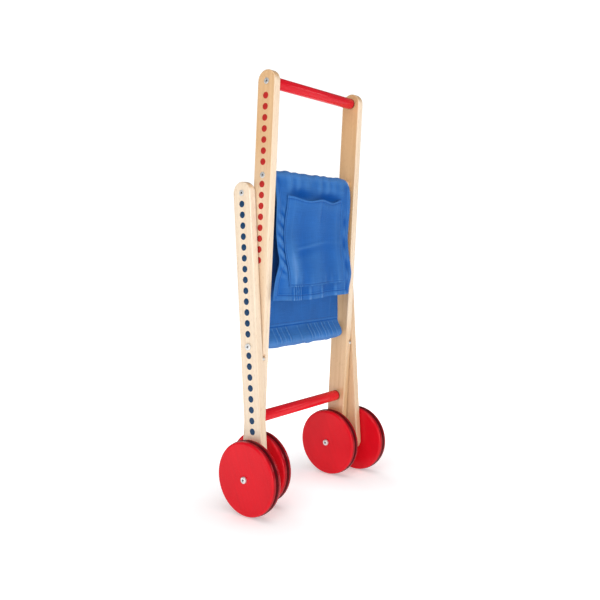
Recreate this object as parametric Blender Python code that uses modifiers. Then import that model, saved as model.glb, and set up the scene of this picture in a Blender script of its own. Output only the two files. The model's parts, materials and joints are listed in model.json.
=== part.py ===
"""Folding wooden toy shopping trolley with a cloth bag, in its folded position.

X runs across the trolley, +Y is the way it is pushed, +Z is up.
The origin is on the floor, midway between the wheels.
Two pairs of legs cross at a pair of bolts. The long legs carry the handle and
the front wheels, the short legs lie outside them and carry the rear wheels.
"""

import math

import bmesh
import bpy
from mathutils import Matrix, Vector

MM = 0.001
SIDES = {"left": -1, "right": 1}

# Fit between pieces
HOLE_CLEARANCE = 0.3 * MM
FACE_GAP = 0.3 * MM
CUT_OVERRUN = 1.0 * MM

# Legs, measured along each leg from the fold pivot
LEG_WIDTH = 28.5 * MM
LEG_THICKNESS = 11.0 * MM
LEG_EDGE_ROUND = 1.5 * MM
LEG_SPAN = 174.8 * MM
LEG_GAP = 1.4 * MM
FOLDED_LEAN = math.radians(3.4)
PIVOT_TO_HANDLE = 333.0 * MM
PIVOT_TO_REAR_ROD = 216.5 * MM
PIVOT_TO_FRONT_ROD = 194.5 * MM
PIVOT_TO_AXLE = 163.0 * MM
CROSSBAR_ABOVE_WHEEL = 13.0 * MM

# Rods and the screws that hold them
HANDLE_DIAMETER = 15.0 * MM
CROSSBAR_DIAMETER = 15.0 * MM
BAG_ROD_DIAMETER = 12.0 * MM
ROD_SCREW_DIAMETER = 3.6 * MM
ROD_SCREW_HEAD_DIAMETER = 8.0 * MM
ROD_SCREW_HEAD_DEPTH = 2.2 * MM
ROD_SCREW_LENGTH = 34.0 * MM
ROD_SCREW_POINT = 4.0 * MM

# Fold pivot
PIVOT_BOLT_DIAMETER = 5.0 * MM
PIVOT_HEAD_DIAMETER = 8.6 * MM
PIVOT_HEAD_HEIGHT = 1.8 * MM
PIVOT_HEAD_RIM = 0.81 * MM
PIVOT_WASHER_DIAMETER = 18.0 * MM
PIVOT_WASHER_THICKNESS = 0.8 * MM
NUT_ACROSS_FLATS = 8.0 * MM
NUT_HEIGHT = 4.0 * MM
NUT_WASHER_DIAMETER = 10.0 * MM
NUT_WASHER_THICKNESS = 0.7 * MM
NUT_RECESS_MARGIN = 0.6 * MM

# Stop for the folded position: a pin of the short leg in a notch of the long one
STOP_PIN_DIAMETER = 5.0 * MM
STOP_PIN_GRIP = 6.0 * MM
STOP_PIN_ENGAGEMENT = 4.0 * MM
STOP_PATH_BEYOND_EDGE = 5.2 * MM
STOP_PIN_ANGLE = math.radians(30.0)

# Wheels
WHEEL_DIAMETER = 94.0 * MM
WHEEL_THICKNESS = 16.0 * MM
WHEEL_EDGE_ROUND = 2.6 * MM
WHEEL_GAP = 2.4 * MM
GROOVE_WIDTH = 6.4 * MM
GROOVE_DEPTH = 2.6 * MM
TYRE_PROUD = 0.5 * MM
TYRE_EDGE_BEVEL = 0.8 * MM
AXLE_DIAMETER = 5.0 * MM
AXLE_HEAD_DIAMETER = 8.6 * MM
AXLE_HEAD_HEIGHT = 3.0 * MM
AXLE_HEAD_RIM = 1.35 * MM
AXLE_GRIP = 9.5 * MM
AXLE_POINT = 2.0 * MM
SPACER_DIAMETER = 14.0 * MM
SPACER_THICKNESS = 1.8 * MM

# Cloth
CLOTH_THICKNESS = 1.2 * MM
SLEEVE_TAIL = 12.0 * MM
FLAP_SIDE_GAP = 3.0 * MM
FLAP_DROP = 158.0 * MM
FLAP_RIPPLE = 1.6 * MM
FLAP_RIPPLES = 3
POCKET_WIDTH = 122.0 * MM
POCKET_HEIGHT = 116.0 * MM
POCKET_ABOVE_HEM = 18.0 * MM
POCKET_MOUTH_STANDOFF = 8.0 * MM
POCKET_MOUTH_SAG = 4.0 * MM
BAG_SIDE_GAP = 9.5 * MM
BAG_SEAM_HEIGHT = 20.5 * MM
BAG_SEAM_SPACING = 5.5 * MM
BAG_BOTTOM_DROP = 6.0 * MM
BAG_BOTTOM_DEPTH = 21.0 * MM
BAG_BOTTOM_FULLNESS = 3.5 * MM

# Facets
WHEEL_SEGMENTS = 40
ROD_SEGMENTS = 28
SCREW_SEGMENTS = 12
HOLE_SEGMENTS = 12
LEG_END_SEGMENTS = 14
SLOT_SEGMENTS = 8
ROUNDING_SEGMENTS = 3
FLAP_ROWS = 12
FLAP_COLUMNS = 18
POCKET_COLUMNS = 14
PANEL_ROWS = 8
PANEL_COLUMNS = 4
SLEEVE_SEGMENTS = 8
BAG_BOTTOM_ROWS = 22
BAG_BOTTOM_COLUMNS = 8
SMOOTH_BELOW = math.radians(35)
MERGE_DISTANCE = 0.005 * MM

# Sizes that follow from the ones above
TREAD_RADIUS = WHEEL_DIAMETER / 2 + TYRE_PROUD
PIVOT_HEIGHT = PIVOT_TO_AXLE * math.cos(FOLDED_LEAN) + TREAD_RADIUS * math.cos(math.pi / WHEEL_SEGMENTS)
PIVOT_TO_CROSSBAR = PIVOT_TO_AXLE - TREAD_RADIUS - CROSSBAR_ABOVE_WHEEL - CROSSBAR_DIAMETER / 2
LONG_INNER_FACE = LEG_SPAN / 2
LONG_OUTER_FACE = LONG_INNER_FACE + LEG_THICKNESS
SHORT_INNER_FACE = LONG_OUTER_FACE + LEG_GAP
SHORT_OUTER_FACE = SHORT_INNER_FACE + LEG_THICKNESS
STOP_PATH_RADIUS = LEG_WIDTH / 2 + STOP_PATH_BEYOND_EDGE
NUT_RECESS = NUT_HEIGHT + NUT_WASHER_THICKNESS + 2 * FACE_GAP + NUT_RECESS_MARGIN
FLAP_WIDTH = LEG_SPAN - 2 * FLAP_SIDE_GAP
BAG_WIDTH = LEG_SPAN - 2 * BAG_SIDE_GAP

for old in list(bpy.data.objects):
    bpy.data.objects.remove(old, do_unlink=True)

PARTS = bpy.data.collections.new("toy_shopping_trolley")
CUTTERS = bpy.data.collections.new("cutters")
for collection in (PARTS, CUTTERS):
    bpy.context.scene.collection.children.link(collection)


def material(name, colour, roughness, metallic=0.0):
    made = bpy.data.materials.new(name)
    made.use_nodes = True
    shader = made.node_tree.nodes["Principled BSDF"]
    shader.inputs["Base Color"].default_value = (*colour, 1.0)
    shader.inputs["Roughness"].default_value = roughness
    shader.inputs["Metallic"].default_value = metallic
    return made


BEECH = material("beech", (0.84, 0.66, 0.43), 0.45)
RED_PAINT = material("red_paint", (0.72, 0.02, 0.035), 0.35)
RUBBER = material("rubber", (0.015, 0.013, 0.013), 0.7)
STEEL = material("steel", (0.62, 0.62, 0.60), 0.3, metallic=1.0)
NYLON = material("nylon", (0.75, 0.74, 0.70), 0.5)
BLUE_CLOTH = material("blue_cloth", (0.045, 0.16, 0.45), 0.9)


def empty(name, parent=None, location=(0, 0, 0), lean=0.0):
    made = bpy.data.objects.new(name, None)
    PARTS.objects.link(made)
    made.parent = parent
    made.location = location
    made.rotation_euler = (lean, 0, 0)
    return made


PIVOT = empty("pivot", location=(0, 0, PIVOT_HEIGHT))
LONG_FRAME = empty("long_frame", PIVOT, lean=FOLDED_LEAN)
SHORT_FRAME = empty("short_frame", PIVOT, lean=-FOLDED_LEAN)


def add(name, mesh, look, parent, location=(0, 0, 0), rotation=(0, 0, 0)):
    """Add a piece to the model, in its parent's frame."""
    piece = bpy.data.objects.new(name, mesh)
    PARTS.objects.link(piece)
    piece.parent = parent
    piece.location = location
    piece.rotation_euler = rotation
    mesh.materials.clear()
    mesh.materials.append(look)
    return piece


def evaluated_mesh(source):
    bpy.context.view_layer.update()
    depsgraph = bpy.context.evaluated_depsgraph_get()
    return bpy.data.meshes.new_from_object(source.evaluated_get(depsgraph))


def turned_mesh(name, profile, segments):
    """Spin a profile of (radius, height) points, listed down its outer side, about Z.

    A profile that starts on the axis makes a solid piece, and one that starts off it a ring.
    """
    bm = bmesh.new()
    half_step = math.pi / segments
    points = [bm.verts.new((r * math.cos(half_step), r * math.sin(half_step), z)) for r, z in profile]
    for upper, lower in zip(points, points[1:]):
        bm.edges.new((upper, lower))
    if profile[0][0] > 0:
        bm.edges.new((points[-1], points[0]))
    outline = bpy.data.meshes.new(name)
    bm.to_mesh(outline)
    bm.free()

    lathe = bpy.data.objects.new(name, outline)
    PARTS.objects.link(lathe)
    spin = lathe.modifiers.new("spin", "SCREW")
    spin.steps = segments
    spin.render_steps = segments
    spin.use_merge_vertices = True
    spin.merge_threshold = MERGE_DISTANCE
    mesh = evaluated_mesh(lathe)
    bpy.data.objects.remove(lathe, do_unlink=True)
    mesh.name = name
    mesh.shade_smooth()
    mesh.set_sharp_from_angle(angle=SMOOTH_BELOW)
    return mesh


def along_x(facing):
    """Rotation that points a turned piece's top along +X or -X."""
    return (0, facing * math.pi / 2, 0)


def cut(piece, cutter):
    """Cut a piece with a cutter, which stays in the file as a wire shape."""
    for holder in list(cutter.users_collection):
        holder.objects.unlink(cutter)
    CUTTERS.objects.link(cutter)
    cutter.hide_render = True
    cutter.display_type = "WIRE"
    boolean = piece.modifiers.new(cutter.name, "BOOLEAN")
    boolean.operation = "DIFFERENCE"
    boolean.solver = "EXACT"
    boolean.object = cutter


def drill(piece, name, profile, location, facing):
    """Cut a round hole, given as a turned profile with its mouth at height 0."""
    mesh = turned_mesh(name, profile, HOLE_SEGMENTS)
    cut(piece, add(name, mesh, STEEL, piece.parent, location, along_x(facing)))


def plain_hole(diameter, depth):
    """Profile of a round hole that starts a little outside the face it is drilled in."""
    radius = diameter / 2 + HOLE_CLEARANCE
    return [(0, CUT_OVERRUN), (radius, CUT_OVERRUN), (radius, -depth), (0, -depth)]


def flat_mesh(name, outline, thickness, edge_round=0.0):
    """Flat piece with an (across, along) outline: across is Y, along is Z, thickness is X."""
    curve = bpy.data.curves.new(name, "CURVE")
    curve.dimensions = "2D"
    curve.fill_mode = "BOTH"
    curve.bevel_depth = edge_round
    curve.bevel_resolution = 2
    curve.offset = -edge_round
    curve.extrude = thickness / 2 - edge_round
    spline = curve.splines.new("POLY")
    spline.points.add(len(outline) - 1)
    for point, (across, along) in zip(spline.points, outline):
        point.co = (across, along, 0, 1)
    spline.use_cyclic_u = True

    flat = bpy.data.objects.new(name, curve)
    PARTS.objects.link(flat)
    mesh = evaluated_mesh(flat)
    bpy.data.objects.remove(flat, do_unlink=True)
    bm = bmesh.new()
    bm.from_mesh(mesh)
    bmesh.ops.remove_doubles(bm, verts=bm.verts, dist=MERGE_DISTANCE)
    turn = Matrix.Rotation(math.pi / 2, 4, "Z") @ Matrix.Rotation(math.pi / 2, 4, "X")
    bmesh.ops.transform(bm, matrix=turn, verts=bm.verts)
    bmesh.ops.recalc_face_normals(bm, faces=bm.faces)
    bm.to_mesh(mesh)
    bm.free()
    mesh.shade_smooth()
    mesh.set_sharp_from_angle(angle=SMOOTH_BELOW)
    return mesh


def arc(centre, radius, start, end, segments):
    """Points on an arc, with angles counted from +across towards +along."""
    angles = [start + (end - start) * step / segments for step in range(segments + 1)]
    return [(centre[0] + radius * math.cos(a), centre[1] + radius * math.sin(a)) for a in angles]


def leg_outline(top_hole, axle):
    """Round-ended leg, with its ends struck about the top screw and the axle."""
    radius = LEG_WIDTH / 2
    return (arc((0, top_hole), radius, 0, math.pi, LEG_END_SEGMENTS)
            + arc((0, -axle), radius, math.pi, 2 * math.pi, LEG_END_SEGMENTS))


def countersunk_hole(depth):
    """Profile of a screw's hole through a leg, with a seat for its head."""
    mouth = ROD_SCREW_HEAD_DIAMETER / 2 + HOLE_CLEARANCE
    radius = ROD_SCREW_DIAMETER / 2 + HOLE_CLEARANCE
    through = -depth - CUT_OVERRUN
    return [(0, CUT_OVERRUN), (mouth, CUT_OVERRUN), (mouth, 0), (radius, -ROD_SCREW_HEAD_DEPTH),
            (radius, through), (0, through)]


def stop_slot_outline():
    """Slot along the stop pin's path: shut behind the folded pin, open at the rear edge."""
    half_width = STOP_PIN_DIAMETER / 2 + HOLE_CLEARANCE
    down = -math.pi / 2
    folded = down - STOP_PIN_ANGLE - 2 * FOLDED_LEAN
    clear_of_leg = -math.pi
    pin = (STOP_PATH_RADIUS * math.cos(folded), STOP_PATH_RADIUS * math.sin(folded))
    return (arc((0, 0), STOP_PATH_RADIUS + half_width, folded, clear_of_leg, 2 * SLOT_SEGMENTS)
            + arc((0, 0), STOP_PATH_RADIUS - half_width, clear_of_leg, folded, 2 * SLOT_SEGMENTS)
            + arc(pin, half_width, folded + math.pi, folded, SLOT_SEGMENTS)[1:-1])


# Long legs: handle at the top, then the rear bag rod, the pivot, the crossbar and the front axle.
def long_leg(side):
    sign = SIDES[side]
    outline = leg_outline(PIVOT_TO_HANDLE, PIVOT_TO_AXLE)
    mesh = flat_mesh("long_leg", outline, LEG_THICKNESS, LEG_EDGE_ROUND)
    middle = sign * (LONG_INNER_FACE + LEG_THICKNESS / 2)
    leg = add(f"long_leg_{side}", mesh, BEECH, LONG_FRAME, (middle, 0, 0))
    outer = sign * LONG_OUTER_FACE
    inner = sign * LONG_INNER_FACE
    holes = {"handle": PIVOT_TO_HANDLE, "rear_rod": PIVOT_TO_REAR_ROD, "crossbar": -PIVOT_TO_CROSSBAR}
    for use, height in holes.items():
        drill(leg, f"{use}_hole_{side}", countersunk_hole(LEG_THICKNESS), (outer, 0, height), sign)
    bolt = PIVOT_BOLT_DIAMETER / 2 + HOLE_CLEARANCE
    recess = NUT_WASHER_DIAMETER / 2 + HOLE_CLEARANCE
    through = -LEG_THICKNESS - CUT_OVERRUN
    stepped = [(0, CUT_OVERRUN), (recess, CUT_OVERRUN), (recess, -NUT_RECESS), (bolt, -NUT_RECESS),
               (bolt, through), (0, through)]
    drill(leg, f"long_pivot_hole_{side}", stepped, (inner, 0, 0), -sign)
    axle = plain_hole(AXLE_DIAMETER, AXLE_GRIP + HOLE_CLEARANCE)
    drill(leg, f"front_axle_hole_{side}", axle, (inner, 0, -PIVOT_TO_AXLE), -sign)
    slot_depth = STOP_PIN_ENGAGEMENT + HOLE_CLEARANCE
    slot = flat_mesh("stop_slot", stop_slot_outline(), 2 * slot_depth)
    cut(leg, add(f"stop_slot_{side}", slot, STEEL, LONG_FRAME, (outer, 0, 0)))


# Short legs: the front bag rod at the top, then the pivot, the stop pin and the rear axle.
def short_leg(side):
    sign = SIDES[side]
    outline = leg_outline(PIVOT_TO_FRONT_ROD, PIVOT_TO_AXLE)
    mesh = flat_mesh("short_leg", outline, LEG_THICKNESS, LEG_EDGE_ROUND)
    middle = sign * (SHORT_INNER_FACE + LEG_THICKNESS / 2)
    leg = add(f"short_leg_{side}", mesh, BEECH, SHORT_FRAME, (middle, 0, 0))
    outer = sign * SHORT_OUTER_FACE
    inner = sign * SHORT_INNER_FACE
    rod_hole = countersunk_hole(LEG_THICKNESS)
    drill(leg, f"front_rod_hole_{side}", rod_hole, (outer, 0, PIVOT_TO_FRONT_ROD), sign)
    through = plain_hole(PIVOT_BOLT_DIAMETER, LEG_THICKNESS + CUT_OVERRUN)
    drill(leg, f"short_pivot_hole_{side}", through, (outer, 0, 0), sign)
    axle = plain_hole(AXLE_DIAMETER, AXLE_GRIP + HOLE_CLEARANCE)
    drill(leg, f"rear_axle_hole_{side}", axle, (outer, 0, -PIVOT_TO_AXLE), sign)

    across = -STOP_PATH_RADIUS * math.sin(STOP_PIN_ANGLE)
    along = -STOP_PATH_RADIUS * math.cos(STOP_PIN_ANGLE)
    socket = plain_hole(STOP_PIN_DIAMETER, STOP_PIN_GRIP + HOLE_CLEARANCE)
    drill(leg, f"stop_pin_hole_{side}", socket, (inner, across, along), -sign)
    radius = STOP_PIN_DIAMETER / 2
    tip = LEG_GAP + STOP_PIN_ENGAGEMENT
    pin = turned_mesh("stop_pin", [(0, tip), (radius, tip), (radius, -STOP_PIN_GRIP), (0, -STOP_PIN_GRIP)],
                      HOLE_SEGMENTS)
    add(f"stop_pin_{side}", pin, STEEL, SHORT_FRAME, (inner, across, along), along_x(-sign))


# Rods butt on the inner faces of their legs, and a screw from outside runs into each end.
def rod(name, diameter, leg_face, height, frame, look):
    length = 2 * (leg_face - FACE_GAP)
    bm = bmesh.new()
    bmesh.ops.create_cone(bm, cap_ends=True, segments=ROD_SEGMENTS, radius1=diameter / 2,
                          radius2=diameter / 2, depth=length, matrix=Matrix.Rotation(math.pi / 2, 4, "Y"))
    mesh = bpy.data.meshes.new(name)
    bm.to_mesh(mesh)
    bm.free()
    mesh.shade_smooth()
    mesh.set_sharp_from_angle(angle=SMOOTH_BELOW)
    dowel = add(name, mesh, look, frame, (0, 0, height))
    pilot = plain_hole(ROD_SCREW_DIAMETER, ROD_SCREW_LENGTH - LEG_THICKNESS)
    for side, sign in SIDES.items():
        drill(dowel, f"{name}_pilot_{side}", pilot, (sign * length / 2, 0, height), sign)


def rod_screws(name, leg_outer_face, height, frame):
    head = ROD_SCREW_HEAD_DIAMETER / 2
    shank = ROD_SCREW_DIAMETER / 2
    profile = [(0, 0), (head, 0), (shank, -ROD_SCREW_HEAD_DEPTH),
               (shank, -ROD_SCREW_LENGTH + ROD_SCREW_POINT), (0, -ROD_SCREW_LENGTH)]
    mesh = turned_mesh(name, profile, SCREW_SEGMENTS)
    for side, sign in SIDES.items():
        add(f"{name}_{side}", mesh, STEEL, frame, (sign * leg_outer_face, 0, height), along_x(sign))


def domed_head(diameter, height, rim):
    """Profile of a round screw head, domed above its rim, that stands just off the face at height 0."""
    radius = diameter / 2
    quarter = arc((0, 0), 1.0, math.pi / 2, 0, ROUNDING_SEGMENTS)
    dome = [(radius * across, FACE_GAP + rim + (height - rim) * up) for across, up in quarter]
    return dome + [(radius, FACE_GAP)]


def washer(name, diameter, bore, thickness, frame, location, facing):
    """Flat washer whose upper face is at its location."""
    inner = bore / 2 + HOLE_CLEARANCE
    profile = [(inner, 0), (diameter / 2, 0), (diameter / 2, -thickness), (inner, -thickness)]
    mesh = turned_mesh(name, profile, HOLE_SEGMENTS)
    add(name, mesh, NYLON, frame, location, along_x(facing))


# The fold: a bolt from the outside, a washer between the legs, a lock nut sunk in the inner face.
def fold_pivot(side):
    sign = SIDES[side]
    shank = PIVOT_BOLT_DIAMETER / 2
    length = SHORT_OUTER_FACE - LONG_INNER_FACE - NUT_RECESS_MARGIN
    profile = domed_head(PIVOT_HEAD_DIAMETER, PIVOT_HEAD_HEIGHT, PIVOT_HEAD_RIM)
    profile += [(shank, FACE_GAP), (shank, -length), (0, -length)]
    mesh = turned_mesh("pivot_bolt", profile, HOLE_SEGMENTS)
    add(f"pivot_bolt_{side}", mesh, STEEL, LONG_FRAME, (sign * SHORT_OUTER_FACE, 0, 0), along_x(sign))

    between = LONG_OUTER_FACE + (LEG_GAP + PIVOT_WASHER_THICKNESS) / 2
    washer(f"pivot_washer_{side}", PIVOT_WASHER_DIAMETER, PIVOT_BOLT_DIAMETER, PIVOT_WASHER_THICKNESS,
           LONG_FRAME, (sign * between, 0, 0), sign)
    seat = LONG_INNER_FACE + NUT_RECESS - FACE_GAP
    washer(f"nut_washer_{side}", NUT_WASHER_DIAMETER, PIVOT_BOLT_DIAMETER, NUT_WASHER_THICKNESS,
           LONG_FRAME, (sign * seat, 0, 0), sign)

    bm = bmesh.new()
    corner = NUT_ACROSS_FLATS / 2 / math.cos(math.pi / 6)
    bmesh.ops.create_cone(bm, cap_ends=True, segments=6, radius1=corner, radius2=corner, depth=NUT_HEIGHT,
                          matrix=Matrix.Rotation(math.pi / 2, 4, "Y"))
    hexagon = bpy.data.meshes.new("pivot_nut")
    bm.to_mesh(hexagon)
    bm.free()
    inner_end = LONG_INNER_FACE + NUT_RECESS_MARGIN
    nut = add(f"pivot_nut_{side}", hexagon, STEEL, LONG_FRAME, (sign * (inner_end + NUT_HEIGHT / 2), 0, 0))
    bore = plain_hole(PIVOT_BOLT_DIAMETER, NUT_HEIGHT + CUT_OVERRUN)
    drill(nut, f"nut_bore_{side}", bore, (sign * inner_end, 0, 0), -sign)


def rounded_corner(radius, height, size, quarter):
    """Corner of a turned profile: quarter 0 turns from a top face, 1 on to a bottom face."""
    centre_height = height - size if quarter == 0 else height + size
    start = math.pi / 2 if quarter == 0 else 0
    return arc((radius - size, centre_height), size, start, start - math.pi / 2, ROUNDING_SEGMENTS)


# Wheels: a turned disc with a rubber band in its rim groove, on a screw with a spacer behind it.
def wheel(name, frame, leg_face, outward):
    """outward is the way along X that the wheel lies from its leg's face."""
    radius = WHEEL_DIAMETER / 2
    half = WHEEL_THICKNESS / 2
    bore = AXLE_DIAMETER / 2 + HOLE_CLEARANCE
    floor = radius - GROOVE_DEPTH
    groove = GROOVE_WIDTH / 2
    disc = [(bore, half)]
    disc += rounded_corner(radius, half, WHEEL_EDGE_ROUND, 0)
    disc += [(radius, groove), (floor, groove), (floor, -groove), (radius, -groove)]
    disc += rounded_corner(radius, -half, WHEEL_EDGE_ROUND, 1)
    disc += [(bore, -half)]
    hub = empty(f"{name}_hub", frame, (0, 0, -PIVOT_TO_AXLE), lean=-frame.rotation_euler.x)
    centre = leg_face + outward * (WHEEL_GAP + half)
    turn = along_x(outward)
    add(name, turned_mesh(name, disc, WHEEL_SEGMENTS), RED_PAINT, hub, (centre, 0, 0), turn)

    seat = floor + FACE_GAP
    band = groove - FACE_GAP
    shoulder = TREAD_RADIUS - TYRE_EDGE_BEVEL
    flat = band - TYRE_EDGE_BEVEL
    tyre = [(seat, band), (shoulder, band), (TREAD_RADIUS, flat), (TREAD_RADIUS, -flat), (shoulder, -band),
            (seat, -band)]
    add(f"{name}_tyre", turned_mesh(f"{name}_tyre", tyre, WHEEL_SEGMENTS), RUBBER, hub, (centre, 0, 0), turn)

    shank = AXLE_DIAMETER / 2
    length = WHEEL_THICKNESS + WHEEL_GAP + AXLE_GRIP
    screw = domed_head(AXLE_HEAD_DIAMETER, AXLE_HEAD_HEIGHT, AXLE_HEAD_RIM)
    screw += [(shank, FACE_GAP), (shank, -length + AXLE_POINT), (shank / 2, -length), (0, -length)]
    face = (centre + outward * half, 0, 0)
    add(f"{name}_axle", turned_mesh(f"{name}_axle", screw, HOLE_SEGMENTS), STEEL, hub, face, turn)
    spacer = (leg_face + outward * (WHEEL_GAP + SPACER_THICKNESS) / 2, 0, 0)
    washer(f"{name}_spacer", SPACER_DIAMETER, AXLE_DIAMETER, SPACER_THICKNESS, hub, spacer, outward)


def cloth(name, path, columns, half_width, offset=None):
    """Sheet of cloth that follows a path of (y, z) points from the pivot, from one selvedge to the other.

    half_width gives each row's half width from its place along the path, 0 to 1.
    offset gives how far a point is pushed towards -Y, from x and its place along the path.
    """
    rows = len(path) - 1
    bm = bmesh.new()
    bmesh.ops.create_grid(bm, x_segments=columns, y_segments=rows, size=1.0)
    for vert in bm.verts:
        row = round((vert.co.y + 1) / 2 * rows)
        place = row / rows
        x = vert.co.x * half_width(place)
        y, z = path[row]
        push = offset(x, place) if offset else 0.0
        vert.co = Vector((x, y - push, z))
    mesh = bpy.data.meshes.new(name)
    bm.to_mesh(mesh)
    bm.free()
    mesh.shade_smooth()
    return mesh


def add_cloth(name, mesh, parent):
    sheet = add(name, mesh, BLUE_CLOTH, parent)
    thicken = sheet.modifiers.new("thickness", "SOLIDIFY")
    thicken.thickness = CLOTH_THICKNESS
    thicken.offset = 0.0
    return sheet


def straight(start, end, steps):
    return [(start[0] + (end[0] - start[0]) * step / steps, start[1] + (end[1] - start[1]) * step / steps)
            for step in range(steps + 1)]


# Where the two bag rods lie in the folded trolley, as (y, z) from the pivot
REAR_ROD = (-PIVOT_TO_REAR_ROD * math.sin(FOLDED_LEAN), PIVOT_TO_REAR_ROD * math.cos(FOLDED_LEAN))
FRONT_ROD = (PIVOT_TO_FRONT_ROD * math.sin(FOLDED_LEAN), PIVOT_TO_FRONT_ROD * math.cos(FOLDED_LEAN))
SLEEVE_RADIUS = BAG_ROD_DIAMETER / 2 + FACE_GAP + CLOTH_THICKNESS / 2
BAG_MIDDLE = (REAR_ROD[0] + FRONT_ROD[0]) / 2
REAR_SEAM = (BAG_MIDDLE - BAG_SEAM_SPACING / 2, BAG_SEAM_HEIGHT)
FRONT_SEAM = (BAG_MIDDLE + BAG_SEAM_SPACING / 2, BAG_SEAM_HEIGHT)


def over_rod(centre, bottom, steps):
    """Path of cloth that hangs on a rod: a short tail in front, over the top, down the rear side."""
    tail = (centre[0] + SLEEVE_RADIUS, centre[1] - SLEEVE_TAIL)
    over = arc(centre, SLEEVE_RADIUS, 0, math.pi, SLEEVE_SEGMENTS)
    return [tail] + over + straight(over[-1], bottom, steps)[1:]


def flap_ripple(x, depth):
    """How far the hanging flap waves towards the child, growing with the depth below its rod."""
    wave = math.cos(2 * math.pi * FLAP_RIPPLES * x / FLAP_WIDTH)
    return FLAP_RIPPLE * min(1.0, max(0.0, depth / FLAP_DROP)) * wave


# The flap hangs from the rear bag rod on the child's side, with a patch pocket sewn to it.
def flap_and_pocket():
    face = REAR_ROD[0] - SLEEVE_RADIUS
    hem = (face, REAR_ROD[1] - FLAP_DROP)
    path = over_rod(REAR_ROD, hem, FLAP_ROWS)
    first_hanging_row = len(path) - 1 - FLAP_ROWS

    def depth_at(place):
        row = round(place * (len(path) - 1))
        return REAR_ROD[1] - path[row][1] if row >= first_hanging_row else 0.0

    flap = cloth("pocket_flap", path, FLAP_COLUMNS, lambda place: FLAP_WIDTH / 2,
                 lambda x, place: flap_ripple(x, depth_at(place)))
    add_cloth("pocket_flap", flap, PIVOT)

    bottom = hem[1] + POCKET_ABOVE_HEM
    top = bottom + POCKET_HEIGHT
    layer = CLOTH_THICKNESS + FACE_GAP
    pocket_path = straight((face, bottom), (face, top), FLAP_ROWS)

    def pocket_push(x, place):
        depth = REAR_ROD[1] - bottom - POCKET_HEIGHT * place
        fullness = math.cos(math.pi * x / POCKET_WIDTH) * place ** 1.5
        return layer + flap_ripple(x, depth) + POCKET_MOUTH_STANDOFF * fullness

    pocket = cloth("flap_pocket", pocket_path, POCKET_COLUMNS, lambda place: POCKET_WIDTH / 2, pocket_push)
    for vert in pocket.vertices:
        place = (vert.co.z - bottom) / POCKET_HEIGHT
        vert.co.z -= POCKET_MOUTH_SAG * place ** 4 * math.cos(math.pi * vert.co.x / POCKET_WIDTH)
    add_cloth("flap_pocket", pocket, PIVOT)


# The bag hangs between the two rods: a panel from each, and a full bottom that turns under the pivot.
def bag():
    half = BAG_WIDTH / 2
    top = (REAR_ROD[0] + SLEEVE_RADIUS, REAR_ROD[1] - SLEEVE_TAIL - FACE_GAP)
    rear = cloth("bag_rear_panel", straight(top, REAR_SEAM, PANEL_ROWS), PANEL_COLUMNS, lambda place: half)
    add_cloth("bag_rear_panel", rear, PIVOT)
    front_path = over_rod(FRONT_ROD, FRONT_SEAM, PANEL_ROWS)
    front = cloth("bag_front_panel", front_path, PANEL_COLUMNS, lambda place: half)
    add_cloth("bag_front_panel", front, PIVOT)

    depth = BAG_BOTTOM_DEPTH / 2
    seam_angle = math.acos(BAG_SEAM_SPACING / BAG_BOTTOM_DEPTH)
    height = (BAG_SEAM_HEIGHT - CLOTH_THICKNESS + BAG_BOTTOM_DROP) / (1 + math.sin(seam_angle))
    middle = height - BAG_BOTTOM_DROP
    angles = arc((0, 0), 1.0, math.pi - seam_angle, 2 * math.pi + seam_angle, BAG_BOTTOM_ROWS)
    loop = [(BAG_MIDDLE + depth * across, middle + height * up) for across, up in angles]
    bottom = cloth("bag_bottom", loop, BAG_BOTTOM_COLUMNS,
                   lambda place: half + BAG_BOTTOM_FULLNESS * math.sin(math.pi * place))
    add_cloth("bag_bottom", bottom, PIVOT)


for side in SIDES:
    long_leg(side)
    short_leg(side)
    fold_pivot(side)
    wheel(f"front_wheel_{side}", LONG_FRAME, SIDES[side] * LONG_INNER_FACE, -SIDES[side])
    wheel(f"rear_wheel_{side}", SHORT_FRAME, SIDES[side] * SHORT_OUTER_FACE, SIDES[side])

rod("handle_rod", HANDLE_DIAMETER, LONG_INNER_FACE, PIVOT_TO_HANDLE, LONG_FRAME, RED_PAINT)
rod("crossbar", CROSSBAR_DIAMETER, LONG_INNER_FACE, -PIVOT_TO_CROSSBAR, LONG_FRAME, RED_PAINT)
rod("rear_bag_rod", BAG_ROD_DIAMETER, LONG_INNER_FACE, PIVOT_TO_REAR_ROD, LONG_FRAME, BEECH)
rod("front_bag_rod", BAG_ROD_DIAMETER, SHORT_INNER_FACE, PIVOT_TO_FRONT_ROD, SHORT_FRAME, BEECH)
rod_screws("handle_screw", LONG_OUTER_FACE, PIVOT_TO_HANDLE, LONG_FRAME)
rod_screws("crossbar_screw", LONG_OUTER_FACE, -PIVOT_TO_CROSSBAR, LONG_FRAME)
rod_screws("rear_rod_screw", LONG_OUTER_FACE, PIVOT_TO_REAR_ROD, LONG_FRAME)
rod_screws("front_rod_screw", SHORT_OUTER_FACE, PIVOT_TO_FRONT_ROD, SHORT_FRAME)
flap_and_pocket()
bag()
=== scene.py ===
"""Looks of a folding wooden toy shopping trolley with a cloth bag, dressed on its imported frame."""

import json
import math

import bmesh
import bpy
import numpy as np
from mathutils import Matrix, Vector


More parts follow.
